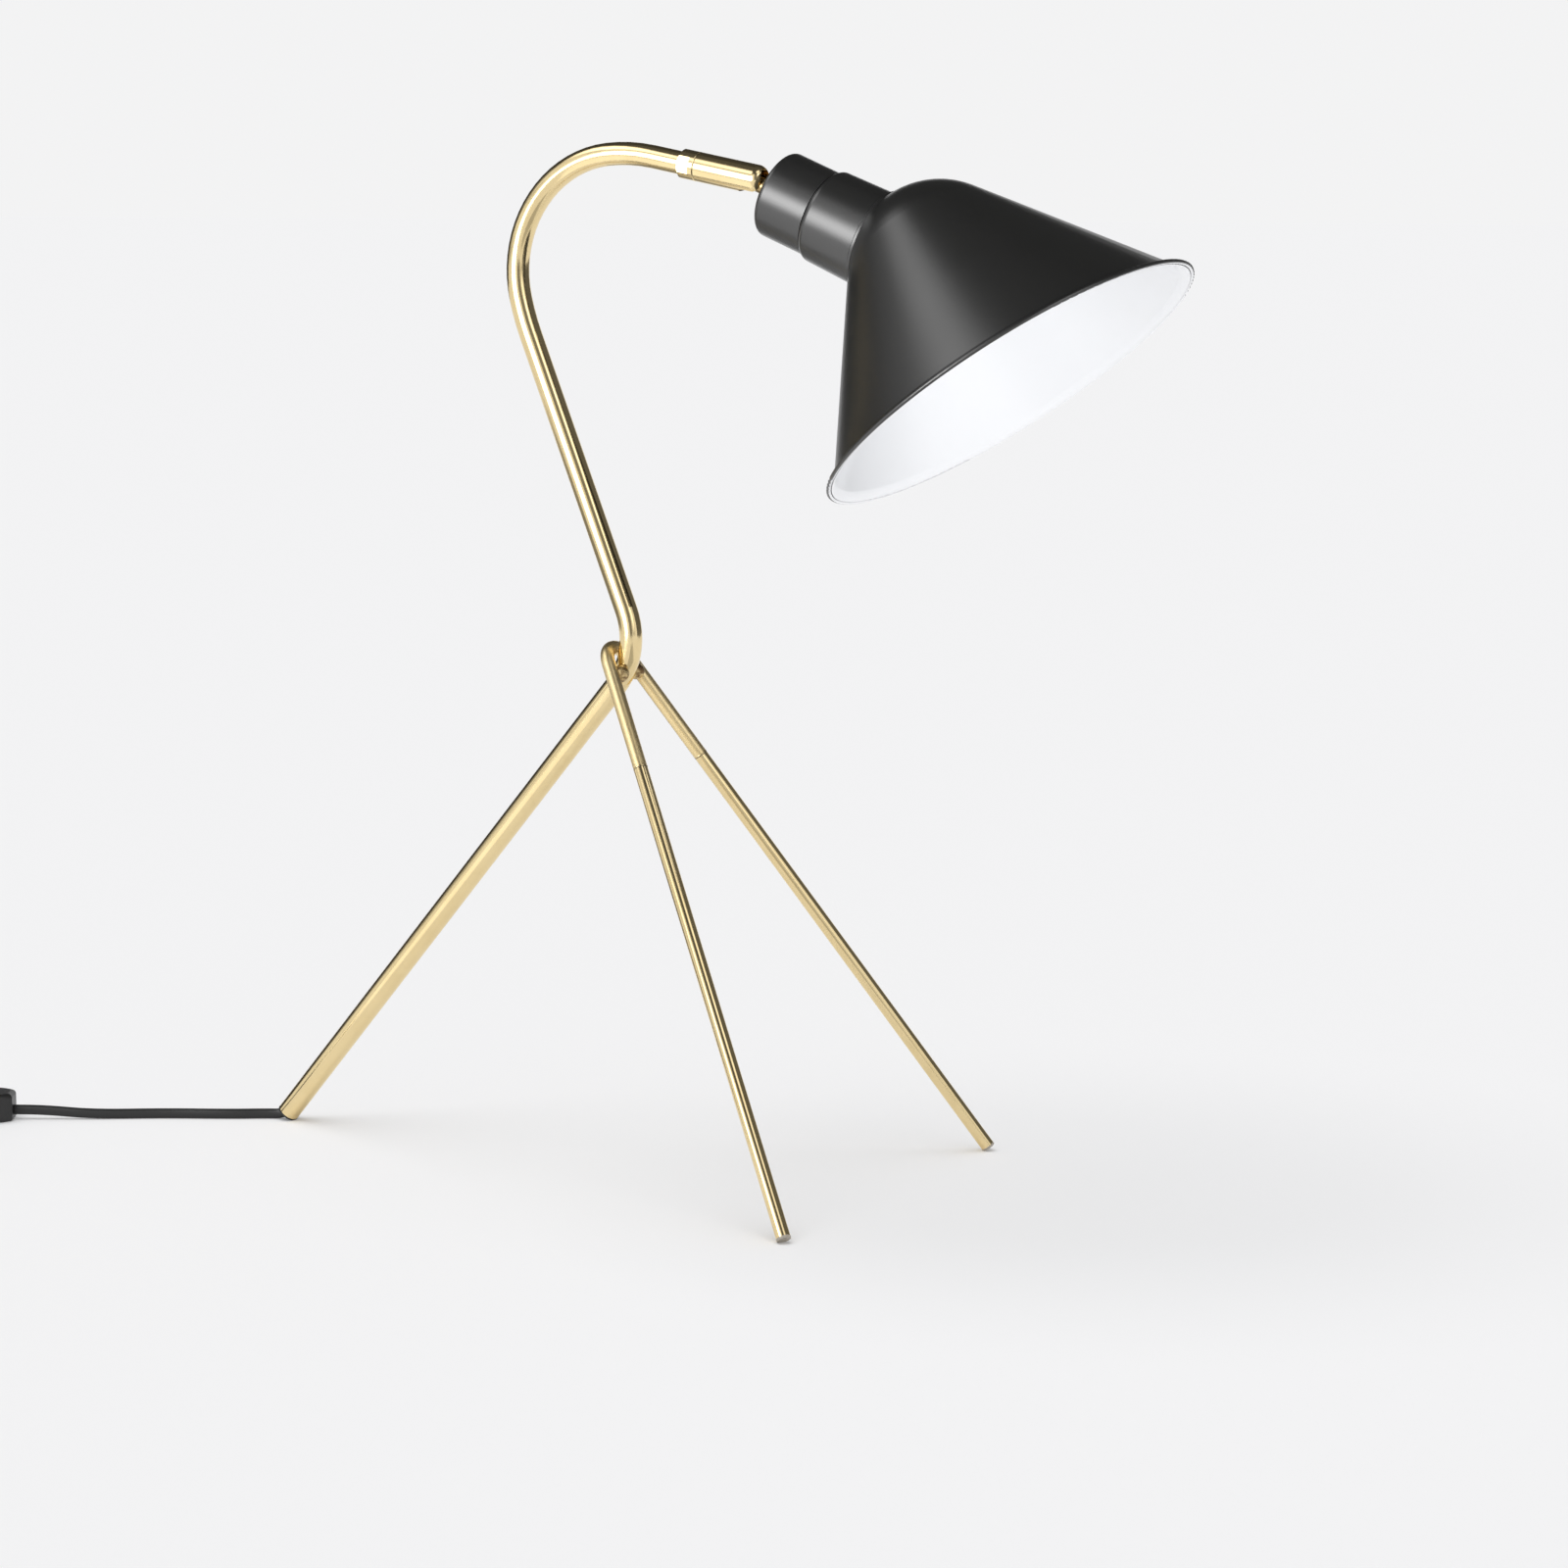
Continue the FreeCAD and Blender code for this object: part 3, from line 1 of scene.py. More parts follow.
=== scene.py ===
import math
import bmesh
import bpy
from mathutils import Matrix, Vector


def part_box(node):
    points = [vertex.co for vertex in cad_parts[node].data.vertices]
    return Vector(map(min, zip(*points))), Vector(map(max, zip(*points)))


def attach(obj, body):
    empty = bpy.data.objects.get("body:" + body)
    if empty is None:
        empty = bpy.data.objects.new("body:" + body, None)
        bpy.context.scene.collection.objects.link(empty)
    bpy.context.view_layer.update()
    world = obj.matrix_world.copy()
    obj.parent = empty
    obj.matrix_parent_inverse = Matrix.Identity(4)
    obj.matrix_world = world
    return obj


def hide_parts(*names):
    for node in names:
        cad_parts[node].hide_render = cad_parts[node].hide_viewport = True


bl_info = {
    "name": "Tripod table lamp",
    "version": (1, 0, 0),
    "blender": (4, 5, 0),
    "location": "View3D > Sidebar > Lamp",
    "description": "Dresses a table lamp with a bent-tube tripod, a cone shade and a flat flex",
    "category": "Object",
}

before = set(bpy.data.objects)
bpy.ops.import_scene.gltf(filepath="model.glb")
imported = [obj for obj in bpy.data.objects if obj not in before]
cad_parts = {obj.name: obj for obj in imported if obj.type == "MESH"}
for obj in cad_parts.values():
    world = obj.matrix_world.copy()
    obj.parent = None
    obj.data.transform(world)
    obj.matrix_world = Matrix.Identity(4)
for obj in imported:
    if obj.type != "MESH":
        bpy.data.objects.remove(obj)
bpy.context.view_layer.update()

# ---------------------------------------------------------------- places on the lamp, metres
SHADE_DROP = math.radians(54.4)          # the shade's axis, below horizontal
SHADE_AXIS = Vector((math.cos(SHADE_DROP), 0, -math.sin(SHADE_DROP)))
NECK_DROP = math.radians(22.6)
NECK_AXIS = Vector((math.cos(NECK_DROP), 0, -math.sin(NECK_DROP)))
RIM_D = 0.2032
DOME_TO_RIM = 0.0661                     # along the shade's axis
SIGHT_AHEAD = 0.06                       # from the opening to a place that only the inside faces
NECK_LIP_R = 0.0430                      # the lip round the neck starts here, from the dome's centre
NECK_LIP_BACK = -0.030                   # and ends here, along the neck's axis
BEAD_PAINT = 0.0020                      # how far the black paint reaches in from the rim's edge
BEAD_OUTWARD = 0.03                      # outward part of its normal, times the distance from the axis


def rim_centre():
    """Middle of the shade's opening, from the box of the shade."""
    low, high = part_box("shade")
    radius = RIM_D / 2
    return Vector((high.x - math.sin(SHADE_DROP) * radius, 0, low.z + math.cos(SHADE_DROP) * radius))


# The line where each front leg meets the yoke.
YOKE_APEX = Vector((-0.0603, 0.0, 0.2840))
YOKE_ARM = 0.094                         # from the apex to the line
LEG_AHEAD, LEG_ASIDE, LEG_DOWN = 0.4901, 0.3185, 0.8113     # direction down the leg
# Turned profile of the line, as (along the leg, radius): a bead, then a groove.
SEAM_PROFILE = ((-0.00052, 0.00350), (-0.00048, 0.00362), (-0.00008, 0.00368), (0.0, 0.00359),
                (0.00038, 0.00359), (0.00042, 0.00350))
SEAM_DARK_BANDS = (3, 4)                 # the bands of the profile that are the groove
SEAM_SIDES = 40

# The flex's route. It repeats the route of the solids, in metres.
FLEX_W = 0.0053
FLEX_T = 0.0030
FLEX_CORE_ARC = 62                       # degrees that each core shows, each way from its outer side
FLEX_CORE_STEPS = 8
FLEX_WAIST = 0.70                        # thickness between the cores, as a share of a core's
FLEX_SPLINE_STEPS = 6
CORD_LEAD = (
    (-0.2477, 0.0, 0.0074), (-0.2517, 0.0, 0.0027), (-0.2620, -0.0046, 0.0027),
    (-0.2794, -0.0154, 0.0027), (-0.3094, -0.0295, 0.0027), (-0.3415, -0.0500, 0.0027),
    (-0.3627, -0.0610, 0.0048), (-0.3786, -0.0696, 0.0052))
CORD_MIDDLE = (
    (-0.4297, -0.0972, 0.0052), (-0.4443, -0.1060, 0.0050), (-0.4535, -0.1248, 0.0042),
    (-0.4508, -0.1506, 0.0037))
CORD_TAIL = (
    (-0.4299, -0.1893, 0.0095), (-0.4150, -0.2063, 0.0056), (-0.3929, -0.2114, 0.0039),
    (-0.3735, -0.2070, 0.0066), (-0.3600, -0.2001, 0.0074))
COIL_START = Vector((-0.4389, -0.1726))
COIL_CENTRE = Vector((-0.4026, -0.1530))
COIL_OUTER_R = 0.0412
COIL_PITCH = 0.00595
COIL_LAYER = 0.0058
COIL_FLOOR = 0.0037
COIL_TURNS_PER_LAYER = 3.25
COIL_CLIMB_TURNS = 0.5
COIL_POINTS_PER_TURN = 16


# ---------------------------------------------------------------- shader maths
class Sock:
    """A shader socket that takes part in Python sums."""

    def __init__(self, tree, socket):
        self.tree = tree
        self.socket = socket

    def maths(self, operation, *others):
        return self.tree.node("ShaderNodeMath", {"operation": operation}, [self, *others])

    def __add__(self, other):
        return self.maths("ADD", other)

    def __radd__(self, other):
        return self.maths("ADD", other)

    def __sub__(self, other):
        return self.maths("SUBTRACT", other)

    def __rsub__(self, other):
        return self.tree.node("ShaderNodeMath", {"operation": "SUBTRACT"}, [other, self])

    def __mul__(self, other):
        return self.maths("MULTIPLY", other)

    def __rmul__(self, other):
        return self.maths("MULTIPLY", other)

    def __pow__(self, other):
        return self.maths("POWER", other)

    def __lt__(self, other):
        return self.maths("LESS_THAN", other)

    def __gt__(self, other):
        return self.maths("GREATER_THAN", other)

    def clamp(self):
        return self.tree.node("ShaderNodeClamp", {}, [self, 0.0, 1.0])

    def ramp(self, low, high):
        """0 below low, 1 above high, smooth between them."""
        values = {"Value": self, "From Min": low, "From Max": high}
        return self.tree.node("ShaderNodeMapRange", {"interpolation_type": "SMOOTHSTEP"}, values)


class Tree:
    """Adds nodes to a material or a world."""

    def __init__(self, owner):
        owner.use_nodes = True
        self.nodes = owner.node_tree.nodes
        self.links = owner.node_tree.links
        self.nodes.clear()

    def node(self, kind, settings=None, values=(), output=0):
        """Add a node, set it up, fill or link its inputs, and return one output."""
        made = self.nodes.new(kind)
        for name, value in (settings or {}).items():
            setattr(made, name, value)
        pairs = values.items() if isinstance(values, dict) else enumerate(values)
        for key, value in pairs:
            if isinstance(value, Sock):
                self.links.new(value.socket, made.inputs[key])
            elif value is not None:
                made.inputs[key].default_value = value
        return Sock(self, made.outputs[output]) if len(made.outputs) else None

    def place(self):
        return self.node("ShaderNodeTexCoord", output="Object")

    def normal(self):
        return self.node("ShaderNodeTexCoord", output="Normal")

    def noise(self, scale, detail=3.0, roughness=0.55, stretch=(1, 1, 1)):
        """Noise over the object's own space, with the scale in features per metre."""
        place = self.vector("MULTIPLY", self.place(), stretch)
        values = {"Vector": place, "Scale": scale, "Detail": detail, "Roughness": roughness}
        return self.node("ShaderNodeTexNoise", {}, values, "Fac")

    def vector(self, operation, first, second=None, output="Vector"):
        """Vector Math on one or two vectors."""
        return self.node("ShaderNodeVectorMath", {"operation": operation}, [first, second], output)

    def dot(self, vector, direction):
        return self.vector("DOT_PRODUCT", vector, direction, "Value")

    def blend(self, factor, first, second):
        """Mix two colours. Their sockets are inputs 6 and 7 and output 2 of the node."""
        values = {0: factor, 6: colour4(first), 7: colour4(second)}
        return self.node("ShaderNodeMix", {"data_type": "RGBA"}, values, 2)

    def bump(self, height, distance, strength=1.0):
        values = {"Strength": strength, "Distance": distance, "Height": height}
        return self.node("ShaderNodeBump", {}, values)

    def surface(self, **sockets):
        """A Principled surface. Underscores in the names stand for spaces."""
        values = {name.replace("_", " "): value for name, value in sockets.items()}
        shader = self.node("ShaderNodeBsdfPrincipled", {}, values)
        self.node("ShaderNodeOutputMaterial", {}, [shader])


def colour4(value):
    return value if isinstance(value, Sock) else (*value, 1.0)


# ---------------------------------------------------------------- settings
class LampFinish(bpy.types.PropertyGroup):
    brass: bpy.props.FloatVectorProperty(
        name="Brass", description="Colour of the satin brass finish", subtype="COLOR",
        default=(0.87, 0.70, 0.39), min=0, max=1)
    brass_dark: bpy.props.FloatVectorProperty(
        name="Brass shadow", description="Darker tone of the brass where it is less polished",
        subtype="COLOR", default=(0.76, 0.59, 0.30), min=0, max=1)
    paint: bpy.props.FloatVectorProperty(
        name="Paint", description="Colour of the black paint", subtype="COLOR",
        default=(0.0085, 0.0085, 0.0080), min=0, max=1)
    enamel: bpy.props.FloatVectorProperty(
        name="Enamel", description="Colour inside the shade", subtype="COLOR",
        default=(0.91, 0.92, 0.94), min=0, max=1)
    jacket: bpy.props.FloatVectorProperty(
        name="Jacket", description="Colour of the flex's jacket", subtype="COLOR",
        default=(0.014, 0.014, 0.014), min=0, max=1)


class LampFlex(bpy.types.PropertyGroup):
    width: bpy.props.FloatProperty(
        name="Width", description="Width of the flat flex", default=FLEX_W, unit="LENGTH")
    thickness: bpy.props.FloatProperty(
        name="Thickness", description="Thickness of the flat flex", default=FLEX_T, unit="LENGTH")


class LampStage(bpy.types.PropertyGroup):
    azimuth: bpy.props.FloatProperty(
        name="Azimuth", description="Where the camera stands round the lamp",
        default=math.radians(28.45), subtype="ANGLE")
    elevation: bpy.props.FloatProperty(
        name="Elevation", description="Camera angle above the horizon",
        default=math.radians(8.085), subtype="ANGLE")
    distance: bpy.props.FloatProperty(
        name="Distance", description="From the camera to the point it looks at",
        default=2.1135, unit="LENGTH")
    aim: bpy.props.FloatVectorProperty(
        name="Aim", description="Point that the camera looks at", default=(0.0501, 0.0, 0.2006),
        subtype="TRANSLATION", unit="LENGTH")
    lens: bpy.props.FloatProperty(
        name="Lens", description="Focal length on a 36 mm sensor, in millimetres", default=98.35)
    backdrop: bpy.props.FloatVectorProperty(
        name="Backdrop", description="Colour of the floor and the backdrop", subtype="COLOR",
        default=(0.896, 0.896, 0.900), min=0, max=1)


SETTINGS = {"lamp_finish": LampFinish, "lamp_flex": LampFlex, "lamp_stage": LampStage}


# ---------------------------------------------------------------- materials
# How many times finer the brushing is along x, y and z.
TUBE_GRAIN = (1, 6, 1)
ROD_GRAIN = (1, 3, 0.3)
TURNED_GRAIN = (6, 1, 1)
# Colours that aren't settings.
BURNT_BRAZE = (0.24, 0.15, 0.07)
SEAM_SHADOW = (0.06, 0.04, 0.02)
BUSH_BLACK = (0.012, 0.012, 0.012)
RING_BLACK = (0.016, 0.016, 0.016)
FITTING_BLACK = (0.017, 0.017, 0.017)
HOLDER_BLACK = (0.02, 0.02, 0.02)
TIE_BLACK = (0.02, 0.02, 0.02)
ROCKER_BLACK = (0.05, 0.05, 0.05)
SEAT_WHITE = (0.80, 0.80, 0.77)
CERAMIC_WHITE = (0.82, 0.80, 0.75)


def new_material(name):
    material = bpy.data.materials.new(name)
    return material, Tree(material)


def satin_brass(name, finish, grain, rough=0.11):
    """Lacquered brass with fine brushing and soft duller patches."""
    material, tree = new_material(name)
    patches = (tree.noise(95.0, 4.0) * 0.5 + tree.noise(21.0, 2.0) * 0.5).ramp(0.38, 0.66)
    brushing = tree.noise(420.0, 2.0, 0.6, grain)
    tint = tree.blend(patches * 0.45, tuple(finish.brass), tuple(finish.brass_dark))
    sheen = rough + patches * 0.04 + brushing * 0.03
    tree.surface(Base_Color=tint, Metallic=1.0, Roughness=sheen, Normal=tree.bump(brushing, 0.0000004))
    return material


def bright_brass(name, tone=1.0):
    """Bare machined brass. A tone under 1 darkens it."""
    material, tree = new_material(name)
    marks = tree.noise(420.0, 3.0)
    polished, dull = (0.80, 0.60, 0.30), (0.70, 0.50, 0.22)
    tint = tree.blend(marks, tuple(c * tone for c in polished), tuple(c * tone for c in dull))
    tree.surface(Base_Color=tint, Metallic=1.0, Roughness=0.16 + marks * 0.12)
    return material


def braze_metal(name, finish):
    """Brazing metal: brass with a rippled, slightly burnt skin."""
    material, tree = new_material(name)
    lumps = tree.noise(900.0, 4.0, 0.6)
    burnt = tree.noise(260.0, 2.0).ramp(0.35, 0.6)
    tint = tree.blend(burnt, tuple(finish.brass_dark), BURNT_BRAZE)
    tree.surface(Base_Color=tint, Metallic=1.0, Roughness=0.28 + burnt * 0.2,
                 Normal=tree.bump(lumps, 0.0004))
    return material


def black_tint(tree, black):
    """Tint of the black paint, and the soft clouds that it follows."""
    cloud = tree.noise(26.0, 2.0)
    return tree.blend(cloud * 0.5, black, tuple(c * 1.3 for c in black)), cloud


def orange_peel(tree, scale):
    return tree.bump(tree.noise(scale, 2.0, 0.5), 0.00002, 0.5)


def satin_paint(name, finish):
    """Black paint with a faint orange peel."""
    material, tree = new_material(name)
    tint, cloud = black_tint(tree, tuple(finish.paint))
    tree.surface(Base_Color=tint, Roughness=0.28 + cloud * 0.05, Specular_IOR_Level=1.0,
                 Coat_Weight=0.5, Coat_Roughness=0.30, Normal=orange_peel(tree, 620.0))
    return material


def shade_paint(name, finish):
    """Black outside and white enamel inside. The normal tells the two faces apart: inside, it points
    towards a place in front of the opening."""
    material, tree = new_material(name)
    ahead = rim_centre() + SHADE_AXIS * SIGHT_AHEAD
    outward = tree.vector("SUBTRACT", tree.place(), ahead)
    facing = tree.dot(tree.normal(), outward)
    centre = rim_centre() - SHADE_AXIS * DOME_TO_RIM
    from_centre = tree.vector("SUBTRACT", tree.place(), centre)
    reach = tree.vector("LENGTH", from_centre, output="Value")
    neck_lip = (reach > NECK_LIP_R) * (tree.dot(from_centre, NECK_AXIS) < NECK_LIP_BACK)
    along = tree.dot(from_centre, SHADE_AXIS)
    off_axis = (reach * reach - along * along) ** 0.5
    off_centre = tree.dot(tree.normal(), from_centre) - along * tree.dot(tree.normal(), SHADE_AXIS)
    bead = (off_axis > RIM_D / 2 - BEAD_PAINT) * (off_centre > BEAD_OUTWARD)
    inside = (facing < 0.0) * (1 - neck_lip) * (1 - bead)
    outer_tint, cloud = black_tint(tree, tuple(finish.paint))
    tint = tree.blend(inside, outer_tint, tuple(finish.enamel))
    enamel_rough, paint_rough = 0.20, 0.29
    rough = inside * (enamel_rough - paint_rough) + paint_rough + cloud * 0.05
    tree.surface(Base_Color=tint, Roughness=rough, Specular_IOR_Level=1.0,
                 Coat_Weight=0.3, Coat_Roughness=0.30, Normal=orange_peel(tree, 520.0))
    return material


def moulded(name, colour, rough, grain=900.0, depth=0.00004):
    """Moulded plastic or rubber with a fine spark-eroded texture."""
    material, tree = new_material(name)
    texture = tree.noise(grain, 3.0)
    tint = tree.blend(tree.noise(40.0, 2.0), colour, tuple(c * 0.82 for c in colour))
    tree.surface(Base_Color=tint, Roughness=rough + texture * 0.08, Normal=tree.bump(texture, depth))
    return material


def plain_steel(name):
    """Bare steel with fine level marks."""
    material, tree = new_material(name)
    turning = tree.noise(700.0, 3.0, 0.6, (1, 1, 8))
    tint = tree.blend(turning, (0.58, 0.58, 0.57), (0.48, 0.48, 0.48))
    tree.surface(Base_Color=tint, Metallic=1.0, Roughness=0.26 + turning * 0.14)
    return material


def frosted_glass(name):
    """The bulb's white glass, which lets a little light through."""
    material, tree = new_material(name)
    frost = tree.noise(1500.0, 2.0)
    tint = tree.blend(frost * 0.3, (0.93, 0.93, 0.91), (0.86, 0.86, 0.84))
    tree.surface(Base_Color=tint, Roughness=0.30 + frost * 0.08, Transmission_Weight=0.25, IOR=1.45)
    return material


def clear_pad(name):
    """Cloudy clear rubber. Its brass tint is a painted reflection of the brass above it."""
    material, tree = new_material(name)
    haze = tree.noise(500.0, 2.0)
    # Both tones are the painted reflection of the brass above the pad; the haze mixes them at random.
    tint = tree.blend(haze, (0.70, 0.64, 0.54), (0.58, 0.52, 0.43))
    tree.surface(Base_Color=tint, Roughness=0.35 + haze * 0.1, Transmission_Weight=0.35, IOR=1.42)
    return material


# ---------------------------------------------------------------- mesh helpers
def add_object(name, mesh, body, slot, *materials):
    made = bpy.data.objects.new(name, mesh)
    bpy.context.scene.collection.objects.link(made)
    for material in materials:
        made.data.materials.append(material)
    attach(made, body)
    return made


def spline_points(route, steps):
    """Points read from the smooth spline that a route controls."""
    curve = bpy.data.curves.new("route", "CURVE")
    curve.dimensions = "3D"
    curve.resolution_u = steps
    spline = curve.splines.new("NURBS")
    spline.points.add(len(route) - 1)
    for point, place in zip(spline.points, route):
        point.co = (*place, 1.0)
    spline.order_u = 3
    spline.use_endpoint_u = True
    holder = bpy.data.objects.new("route", curve)
    bpy.context.scene.collection.objects.link(holder)
    bpy.context.view_layer.update()
    mesh = bpy.data.meshes.new_from_object(holder)
    points = [vertex.co.copy() for vertex in mesh.vertices]
    bpy.data.objects.remove(holder)
    bpy.data.curves.remove(curve)
    bpy.data.meshes.remove(mesh)
    return points


def add_ring(bm, centre, across, upright, radius, sides):
    """Vertices round a circle, in the plane of two unit vectors at right angles."""
    angles = [math.tau * k / sides for k in range(sides)]
    return [bm.verts.new(centre + (across * math.cos(a) + upright * math.sin(a)) * radius) for a in angles]


def sweep(name, path, section):
    """Carry a section of (sideways, upright) points along a path, upright side up."""
    bm = bmesh.new()
    rings = []
    up = Vector((0, 0, 1))
    for index, place in enumerate(path):
        ahead = path[min(index + 1, len(path) - 1)] - path[max(index - 1, 0)]
        side = ahead.cross(up).normalized()
        top = side.cross(ahead).normalized()
        rings.append([bm.verts.new(place + side * a + top * b) for a, b in section])
    count = len(section)
    for near, far in zip(rings, rings[1:]):
        for k in range(count):
            bm.faces.new((near[k], near[(k + 1) % count], far[(k + 1) % count], far[k]))
    bm.faces.new(reversed(rings[0]))
    bm.faces.new(rings[-1])
    bmesh.ops.recalc_face_normals(bm, faces=bm.faces)
    mesh = bpy.data.meshes.new(name)
    bm.to_mesh(mesh)
    bm.free()
    for polygon in mesh.polygons:
        polygon.use_smooth = True
    return mesh


# ---------------------------------------------------------------- the flex
def coil_route():
    """The coil's turns, in along the floor, up in part of a turn, and out on top."""
    last = 2 * COIL_TURNS_PER_LAYER + COIL_CLIMB_TURNS
    arm = COIL_START - COIL_CENTRE
    start = math.atan2(arm.y, arm.x)
    # The spline runs at this share of its points' radius.
    draw_in = (3 + math.cos(2 * math.pi / COIL_POINTS_PER_TURN)) / 4
    points = []
    for k in range(round(last * COIL_POINTS_PER_TURN) + 1):
        turn = k / COIL_POINTS_PER_TURN
        past = turn - COIL_TURNS_PER_LAYER
        if past <= 0:
            inward, climb = turn, 0.0
        elif past <= COIL_CLIMB_TURNS:
            inward = COIL_TURNS_PER_LAYER + past * (1 - past / COIL_CLIMB_TURNS)
            climb = (1 - math.cos(math.pi * past / COIL_CLIMB_TURNS)) / 2
        else:
            inward, climb = last - turn, 1.0
        radius = (COIL_OUTER_R - COIL_PITCH * inward) / draw_in
        angle = start + 2 * math.pi * turn
        points.append((COIL_CENTRE.x + radius * math.cos(angle), COIL_CENTRE.y + radius * math.sin(angle),
                       COIL_FLOOR + COIL_LAYER * climb))
    return points


def flex_section(width, thickness):
    """Two round cores side by side, upright, with a groove along each face."""
    core = thickness / 2
    reach = width / 2 - core
    points = []
    for side in (1, -1):
        for k in range(FLEX_CORE_STEPS + 1):
            angle = math.radians(FLEX_CORE_ARC * (2 * k / FLEX_CORE_STEPS - 1))
            points.append((-side * core * math.sin(angle), side * (reach + core * math.cos(angle))))
        points.append((-side * core * FLEX_WAIST, 0.0))
    return points


class LAMP_OT_flex(bpy.types.Operator):
    """Make the flat twin flex, from the rear foot to the plug"""

    bl_idname = "lamp.flex"
    bl_label = "Flex"

    def execute(self, context):
        settings = context.scene.lamp_flex
        colour = tuple(context.scene.lamp_finish.jacket)
        jacket = moulded("flex_jacket", colour, rough=0.34, grain=1600.0, depth=0.00002)
        route = [*CORD_LEAD, *CORD_MIDDLE, *coil_route(), *CORD_TAIL]
        path = spline_points(route, FLEX_SPLINE_STEPS)
        mesh = sweep("flex", path, flex_section(settings.width, settings.thickness))
        flex = add_object("flex", mesh, "stand", "flex_jacket", jacket)
        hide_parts("cord_lead", "cord_middle", "cord_coil", "cord_tail")
        for node in ("tube_flex", "swivel_flex", "stud_flex"):
            dress(node, jacket)
        return {"FINISHED"}


# ---------------------------------------------------------------- dressing the frame's own pieces
def dress(node, material):
    """Give one of the frame's pieces its finish."""
    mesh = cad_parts[node].data
    mesh.materials.clear()
    mesh.materials.append(material)


def dress_all(nodes, material):
    for node in nodes.split():
        dress(node, material)


class LAMP_OT_stand(bpy.types.Operator):
    """Finish the bent tube, the yoke, the legs and their feet"""

    bl_idname = "lamp.stand"
    bl_label = "Stand"

    def execute(self, context):
        finish = context.scene.lamp_finish
        rods = satin_brass("rod_brass", finish, ROD_GRAIN)
        dress("main_tube", satin_brass("tube_brass", finish, TUBE_GRAIN))
        dress_all("front_leg_left front_leg_right", rods)
        dress("tripod_yoke", satin_brass("yoke_brass", finish, ROD_GRAIN, rough=0.34))
        self.add_seams(rods)
        dress("yoke_braze", braze_metal("braze", finish))
        dress("leg_studs", plain_steel("stud_steel"))
        dress("tube_grommet", moulded("black_bush", BUSH_BLACK, rough=0.42))
        dress_all("leg_pad_left leg_pad_right", clear_pad("foot_pad"))
        return {"FINISHED"}

    def add_seams(self, brass):
        """The line round each front leg where it screws to the yoke: a burnished bead and a groove."""
        groove = moulded("seam_shadow", SEAM_SHADOW, rough=0.5)
        bm = bmesh.new()
        for side in (-1, 1):
            along = Vector((LEG_AHEAD, side * LEG_ASIDE, -LEG_DOWN)).normalized()
            middle = YOKE_APEX + along * YOKE_ARM
            across = along.orthogonal().normalized()
            upright = along.cross(across)
            rings = [add_ring(bm, middle + along * place, across, upright, radius, SEAM_SIDES)
                     for place, radius in SEAM_PROFILE]
            for band, (near, far) in enumerate(zip(rings, rings[1:])):
                for k in range(SEAM_SIDES):
                    n = (k + 1) % SEAM_SIDES
                    face = bm.faces.new((near[k], near[n], far[n], far[k]))
                    face.material_index = 1 if band in SEAM_DARK_BANDS else 0
                    face.smooth = True
        bmesh.ops.recalc_face_normals(bm, faces=bm.faces)
        mesh = bpy.data.meshes.new("leg_seams")
        bm.to_mesh(mesh)
        bm.free()
        add_object("leg_seams", mesh, "stand", "brass_finish", brass, groove)


class LAMP_OT_swivel(bpy.types.Operator):
    """Finish the turned swivel and what is inside it"""

    bl_idname = "lamp.swivel"
    bl_label = "Swivel"

    def execute(self, context):
        finish = context.scene.lamp_finish
        dress_all("swivel_collar swivel_body", satin_brass("turned_brass", finish, TURNED_GRAIN))
        dress_all("tube_nipple swivel_bush", bright_brass("bare_brass"))
        dress("ball_stud", bright_brass("stud_brass", tone=0.55))
        dress_all("spigot_clip spring_stop disc_springs cap_washer cap_nut", plain_steel("spring_steel"))
        dress("ball_seat", moulded("seat_plastic", SEAT_WHITE, rough=0.40))
        return {"FINISHED"}


class LAMP_OT_head(bpy.types.Operator):
    """Finish the cap, the neck, the shade and its ring"""

    bl_idname = "lamp.head"
    bl_label = "Head"

    def execute(self, context):
        finish = context.scene.lamp_finish
        dress_all("socket_cap neck_sleeve", satin_paint("black_paint", finish))
        dress("shade", shade_paint("shade_paint", finish))
        dress("shade_ring", moulded("ring_plastic", RING_BLACK, rough=0.38))
        return {"FINISHED"}


class LAMP_OT_lampholder(bpy.types.Operator):
    """Finish the lampholder, its contacts and the bulb"""

    bl_idname = "lamp.lampholder"
    bl_label = "Lampholder and bulb"

    def execute(self, context):
        dress_all("lampholder_base lampholder_skirt", moulded("holder_plastic", HOLDER_BLACK, rough=0.36))
        dress("contact_block", moulded("ceramic", CERAMIC_WHITE, rough=0.22))
        dress_all("screw_shell centre_contact terminal_leads", bright_brass("contact_brass"))
        dress("terminal_screws", plain_steel("screw_steel"))
        dress("bulb_base", plain_steel("bulb_cap_metal"))
        dress("bulb_glass", frosted_glass("frosted_glass"))
        return {"FINISHED"}


class LAMP_OT_fittings(bpy.types.Operator):
    """Finish the switch, the plug and the tie on the flex"""

    bl_idname = "lamp.fittings"
    bl_label = "Switch, plug and tie"

    def execute(self, context):
        body = moulded("fitting_plastic", FITTING_BLACK, rough=0.34, grain=1200.0, depth=0.00005)
        rocker = moulded("rocker_plastic", ROCKER_BLACK, rough=0.24, grain=1500.0, depth=0.00002)
        tie = moulded("tie_fabric", TIE_BLACK, rough=0.7, grain=2400.0, depth=0.0002)
        dress_all("switch_base switch_cover plug_body", body)
        dress("switch_rocker", rocker)
        dress("coil_tie", tie)
        dress_all("plug_blades switch_contacts", bright_brass("blade_brass"))
        dress("switch_screws", plain_steel("switch_screw_steel"))
        return {"FINISHED"}


